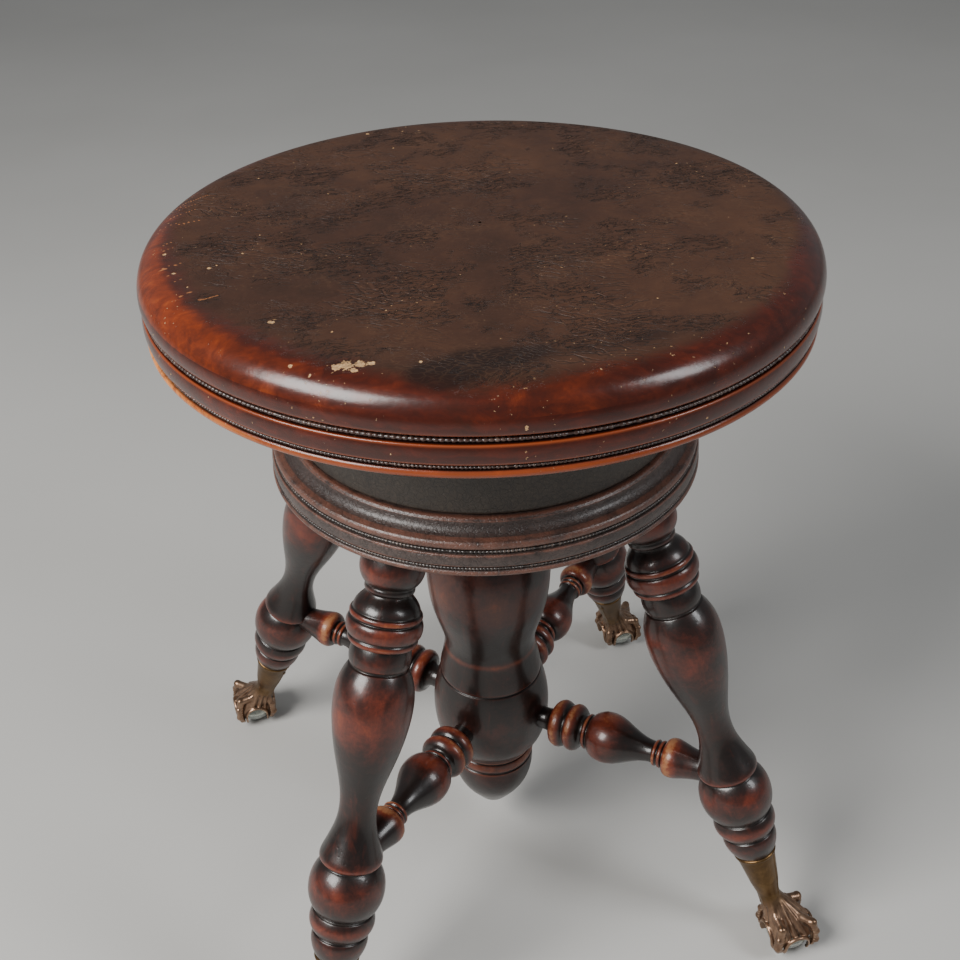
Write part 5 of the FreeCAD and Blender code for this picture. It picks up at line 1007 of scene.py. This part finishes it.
def claw_field(Q):
    """Signed distance, roughly, to the casting."""
    top, mid, ankle = leg_pt(263.7), leg_pt(289.0), leg_pt(303.4)
    axis = (ankle - top) / np.linalg.norm(ankle - top)
    rel = Q - top
    s = rel @ axis
    rad = np.linalg.norm(rel - s[..., None] * axis, axis=-1)
    # ferrule: long, slightly waisted, with a rolled lip
    prof = np.interp(s, [0, 3, 10, 18, 25.3, 33, 39.7, 46], [12.7, 12.4, 11.3, 10.2, 9.2, 7.6, 6.5, 6.8])
    ferrule = np.maximum(rad - prof, np.maximum(-s, s - 43.0)) * 0.93
    lip = np.hypot(rad - 12.35, s - 1.15) - 1.15
    ferrule = smin(ferrule, lip, 0.6)
    # casting seam on the outer and inner side of the ferrule
    side = np.abs(Q[..., 1])
    seam = np.hypot(side * 1.0, rad - prof) - 0.55
    seam = np.maximum(seam, np.maximum(-s + 1, s - 38))
    ferrule = smin(ferrule, seam, 0.7)
    # palm: the ankle swells into a fan over the ball
    B = BALL
    w = Q - B
    dist = np.linalg.norm(w, axis=-1)
    up = (ankle - B) / np.linalg.norm(ankle - B)
    up = up * 0.72 + np.array([0, 0, 1.0]) * 0.28
    up = up / np.linalg.norm(up)
    ex = np.array([1.0, 0, 0]) - up * up[0]
    ex = ex / np.linalg.norm(ex)
    ey = np.cross(up, ex)
    ca = np.clip((w @ up) / np.maximum(dist, 1e-6), -1, 1)
    theta = np.arccos(ca)                     # angle down from the ankle side
    phi = np.arctan2(w @ ey, w @ ex)          # round the palm
    turn = 0.0
    toe = np.cos(4 * (phi - turn))            # 1 along a toe, -1 between toes
    pleat = np.cos(16 * (phi - turn))
    fade = np.clip((theta - 0.15) / 0.35, 0, 1)
    pal = np.clip((math.radians(104) - theta) / 0.5, 0, 1)
    cone = capsule(Q, ankle, B + up * 9.0, 6.2, 12.4)
    cone = cone - fade * (0.85 * pleat * (0.65 - 0.35 * toe) + 0.35 * toe)
    shell_r = 15.7 + 0.95 * pleat * fade * (0.55 - 0.45 * toe) + 0.5 * toe
    shell = np.maximum(dist - shell_r, 13.0 - dist)
    shell = smax(shell, (theta - math.radians(102)) * 14.0, 1.2)
    body = smin(smin(ferrule, cone, 2.6), shell, 2.2)
    # four toes with knuckles, from the palm down to the nails
    toes = np.full(Q.shape[:-1], 1e3)
    for k in range(4):
        a = turn + k * math.pi / 2
        o = np.array([math.cos(a), math.sin(a), 0.0])
        inward = max(0.0, -o[0])
        z = np.array([0, 0, 1.0])
        p = [B + up * 20.5 + o * 2.4, B + up * 16.0 + o * 8.4, B + o * 14.6 + z * 12.8, B + o * 17.6 + z * 6.6,
             B + o * 17.9 + z * (-0.6), B + o * 16.4 + z * (-5.4), B + o * 14.7 + z * (-8.2)]
        rr = [2.0, 2.6, 3.1, 2.4, 2.6, 2.1, 1.2]
        chain = np.full(Q.shape[:-1], 1e3)
        for i in range(len(p) - 1):
            chain = smin(chain, capsule(Q, p[i], p[i + 1], rr[i], rr[i + 1]), 0.5)
        # round knuckles stand out on the back of the toe
        for i, (kr, lift) in enumerate(((2.3, 1.1), (2.7, 1.0), (2.0, 1.2), (2.5, 0.9))):
            c = p[i + 1]
            n = (c - B) / np.linalg.norm(c - B)
            ball = np.linalg.norm(Q - (c + n * lift), axis=-1) - kr
            chain = smin(chain, ball, 0.7)
        side_v = np.cross(o, z)
        for i in range(1, 5):            # small scales along both sides of the toe
            for sgn in (-1, 1):
                for fr in (0.1, 0.43, 0.76):
                    c = p[i] * (1 - fr) + p[i + 1] * fr
                    n = (c - B) / np.linalg.norm(c - B)
                    c = c + side_v * sgn * 2.1 + n * 0.55
                    chain = smin(chain, np.linalg.norm(Q - c, axis=-1) - 1.0, 0.25)
        toes = np.minimum(toes, chain)
    body = smin(body, toes, 0.9)
    # arched windows between the toes, each with a raised rim
    for k in range(4):
        a = turn + math.pi / 4 + k * math.pi / 2
        g = np.array([math.cos(a), math.sin(a), 0.0])
        lat = np.abs(w @ np.array([-g[1], g[0], 0.0]))
        high = Q[..., 2] - 12.2
        arch = np.where(high > 0, np.hypot(lat, high), lat) - 7.2
        front = w @ g
        rim = np.where((front > 4) & (Q[..., 2] > 5.5), np.hypot(arch - 0.7, dist - 16.6) - 1.0, 1e3)
        body = smin(body, rim, 0.6)
        body = smax(body, -np.where(front > 0, arch, 1e3), 0.4)
    # open below, clear of the floor, hollow for the ball and for the leg's end
    body = smax(body, 13.95 - dist, 0.25)
    body = np.maximum(body, 3.9 - Q[..., 2])
    under = np.maximum(np.hypot(w[..., 0], w[..., 1]) - 9.5, Q[..., 2] - 9.0)
    body = np.maximum(body, -under)
    hole = np.interp(s, [0, 22.2], [9.62, 7.42])
    socket = np.maximum(rad - hole, s - 22.2)
    body = np.where(s < 24, np.maximum(body, -socket), body)
    return body


def build_claw():
    h = 0.42
    lo = np.array([172.0, -24.5, 0.6])
    hi = np.array([241.5, 24.5, 84.0])
    n = np.ceil((hi - lo) / h).astype(int)
    # a coarse look first, then the fine grid only in the blocks near the surface
    block = 8
    nb = np.ceil(n / block).astype(int)
    n = nb * block
    bi = np.stack(np.meshgrid(*[np.arange(k) for k in nb], indexing="ij"), -1).reshape(-1, 3)
    coarse = claw_field(lo + h * (bi * block + (block - 1) / 2.0))
    f = np.repeat(np.repeat(np.repeat(np.sign(coarse).reshape(tuple(nb)) * 50.0, block, 0), block, 1), block, 2)
    near = np.abs(coarse) < block * h * 1.45 + 0.6
    cell = np.stack(np.meshgrid(*[np.arange(block)] * 3, indexing="ij"), -1).reshape(1, -1, 3)
    for k0 in range(0, int(near.sum()), 256):
        idx = (bi[near][k0:k0 + 256][:, None, :] * block + cell).reshape(-1, 3)
        f[idx[:, 0], idx[:, 1], idx[:, 2]] = claw_field(lo + h * idx)
    v, q = surface_net(f, lo, h)
    for _ in range(2):
        v = v + 0.5 * (neighbour_mean(v, q, len(v)) - v)
    nrm = vertex_normals(v, q)
    lap = np.einsum("ij,ij->i", neighbour_mean(v, q, len(v)) - v, nrm)
    cav = lap.copy()
    for _ in range(3):
        cav = 0.5 * cav + 0.5 * neighbour_mean(cav, q, len(v))
    scale = 0.045 * (h / 0.42) ** 2
    cavity = np.clip(cav / scale, 0, 1)
    edge = np.clip(-lap / (scale * 1.6), 0, 1)
    for _ in range(1):
        edge = 0.5 * edge + 0.5 * neighbour_mean(edge, q, len(v))
    d = np.linalg.norm(v - BALL, axis=1)
    claw = np.clip((30.0 - d) / 9.0, 0, 1)
    # sooty back and hollow inside
    inner = (d < 14.6).astype(float)
    cavity = np.maximum(cavity, inner)
    c0 = leg_pt(289.0)
    return make_mesh("claw_casting", (v - c0) * MM, q, {"cavity": cavity, "edge": edge, "claw": claw})


claw_mesh = build_claw()
claw_mesh.materials.append(BRONZE)

t = np.linspace(-math.pi / 2 + 0.02, math.pi / 2, 49)
pts = np.c_[13.8 * np.cos(t), 13.8 * np.sin(t)]
pts[:, 1] = np.maximum(pts[:, 1], -13.5)
v, q = lathe_arrays(pts, 64)
ball_mesh = make_mesh("ball_glass_mesh", v, q)
ball_mesh.materials.append(GLASS)
for corner, ang in ANGLES:
    R = Matrix.Rotation(math.radians(ang), 4, "Z")
    add("claw_casting_" + corner, claw_mesh, None, "base", R @ Matrix.Translation(on_leg(289.0)), "claw_foot_" + corner)
    add("foot_ball_" + corner, ball_mesh, None, "base",
        R @ Matrix.Translation(Vector((217.7, 0, 13.5)) * MM) @ Matrix.Rotation(math.radians(71 * (ang / 90 + 2)), 4, "Z"),
        "glass_ball_" + corner)

# ---------------------------------------------------------------------------
# CAD pieces that stay as they are get their finish
# ---------------------------------------------------------------------------
FINISH = {"lift_screw": SCREW_STEEL, "nut_flange": IRON, "seat_spider": IRON, "spider_pin": STEEL, "stop_washer": WASHER,
          "stop_pin": STEEL, "spider_screws": STEEL, "collar_screws": STEEL, "nut_screws": STEEL, "foot_pins": BRONZE}
for name, mat in FINISH.items():
    ob = NODES[name]
    ob.data.materials.clear()
    ob.data.materials.append(mat)

# ---------------------------------------------------------------------------
# floor, light, camera
# ---------------------------------------------------------------------------
def build_stage():
    me = make_mesh("floor", np.array([(-9, -9, 0), (9, -9, 0), (9, 9, 0), (-9, 9, 0)], float), np.array([(0, 1, 2, 3)]), smooth=False)
    m = Mat("floor")
    n = m.noise(m.P, 1.3, 4, 0.5)
    col = m.ramp(n, [(0.3, lin(186, 185, 182)), (0.7, lin(196, 195, 192))])
    m.finish(Base_Color=col, Roughness=0.62, Specular_IOR_Level=0.3)
    me.materials.append(m.m)
    ob = bpy.data.objects.new("floor", me)
    bpy.context.scene.collection.objects.link(ob)


build_stage()


def softbox(name, loc, target, size, power, colour=(1, 1, 1)):
    la = bpy.data.lights.new(name, "AREA")
    la.shape = "RECTANGLE"
    la.size, la.size_y = size
    la.energy = power
    la.color = colour
    ob = bpy.data.objects.new(name, la)
    bpy.context.scene.collection.objects.link(ob)
    ob.location = loc
    d = Vector(target) - Vector(loc)
    ob.rotation_euler = d.to_track_quat("-Z", "Y").to_euler()
    return ob


softbox("key", (-1.45, -0.55, 1.50), (0, 0, 0.30), (1.1, 0.9), 60, (1.0, 0.985, 0.96))
softbox("fill", (1.35, -1.05, 1.55), (0, 0, 0.3), (0.5, 0.9), 17, (0.97, 0.985, 1.0))
world = bpy.data.worlds.new("studio")
bpy.context.scene.world = world
world.use_nodes = True
bg = world.node_tree.nodes["Background"]
bg.inputs[0].default_value = (0.86, 0.88, 0.90, 1)
bg.inputs[1].default_value = 0.24

cam = bpy.data.cameras.new("camera")
cam.sensor_width = 36.0
cam.lens = 46.57
cam.clip_start = 0.02
cam.clip_end = 40
cob = bpy.data.objects.new("camera", cam)
bpy.context.scene.collection.objects.link(cob)
fw = Vector((0.20990, 0.79949, -0.56280)).normalized()
rt = Vector((0.96285, -0.26903, -0.02308)).normalized()
up = rt.cross(fw)
cob.matrix_world = Matrix(((rt.x, up.x, -fw.x, -0.1588), (rt.y, up.y, -fw.y, -0.5905),
                           (rt.z, up.z, -fw.z, 0.7124), (0, 0, 0, 1)))
bpy.context.scene.camera = cob

bpy.context.view_layer.update()
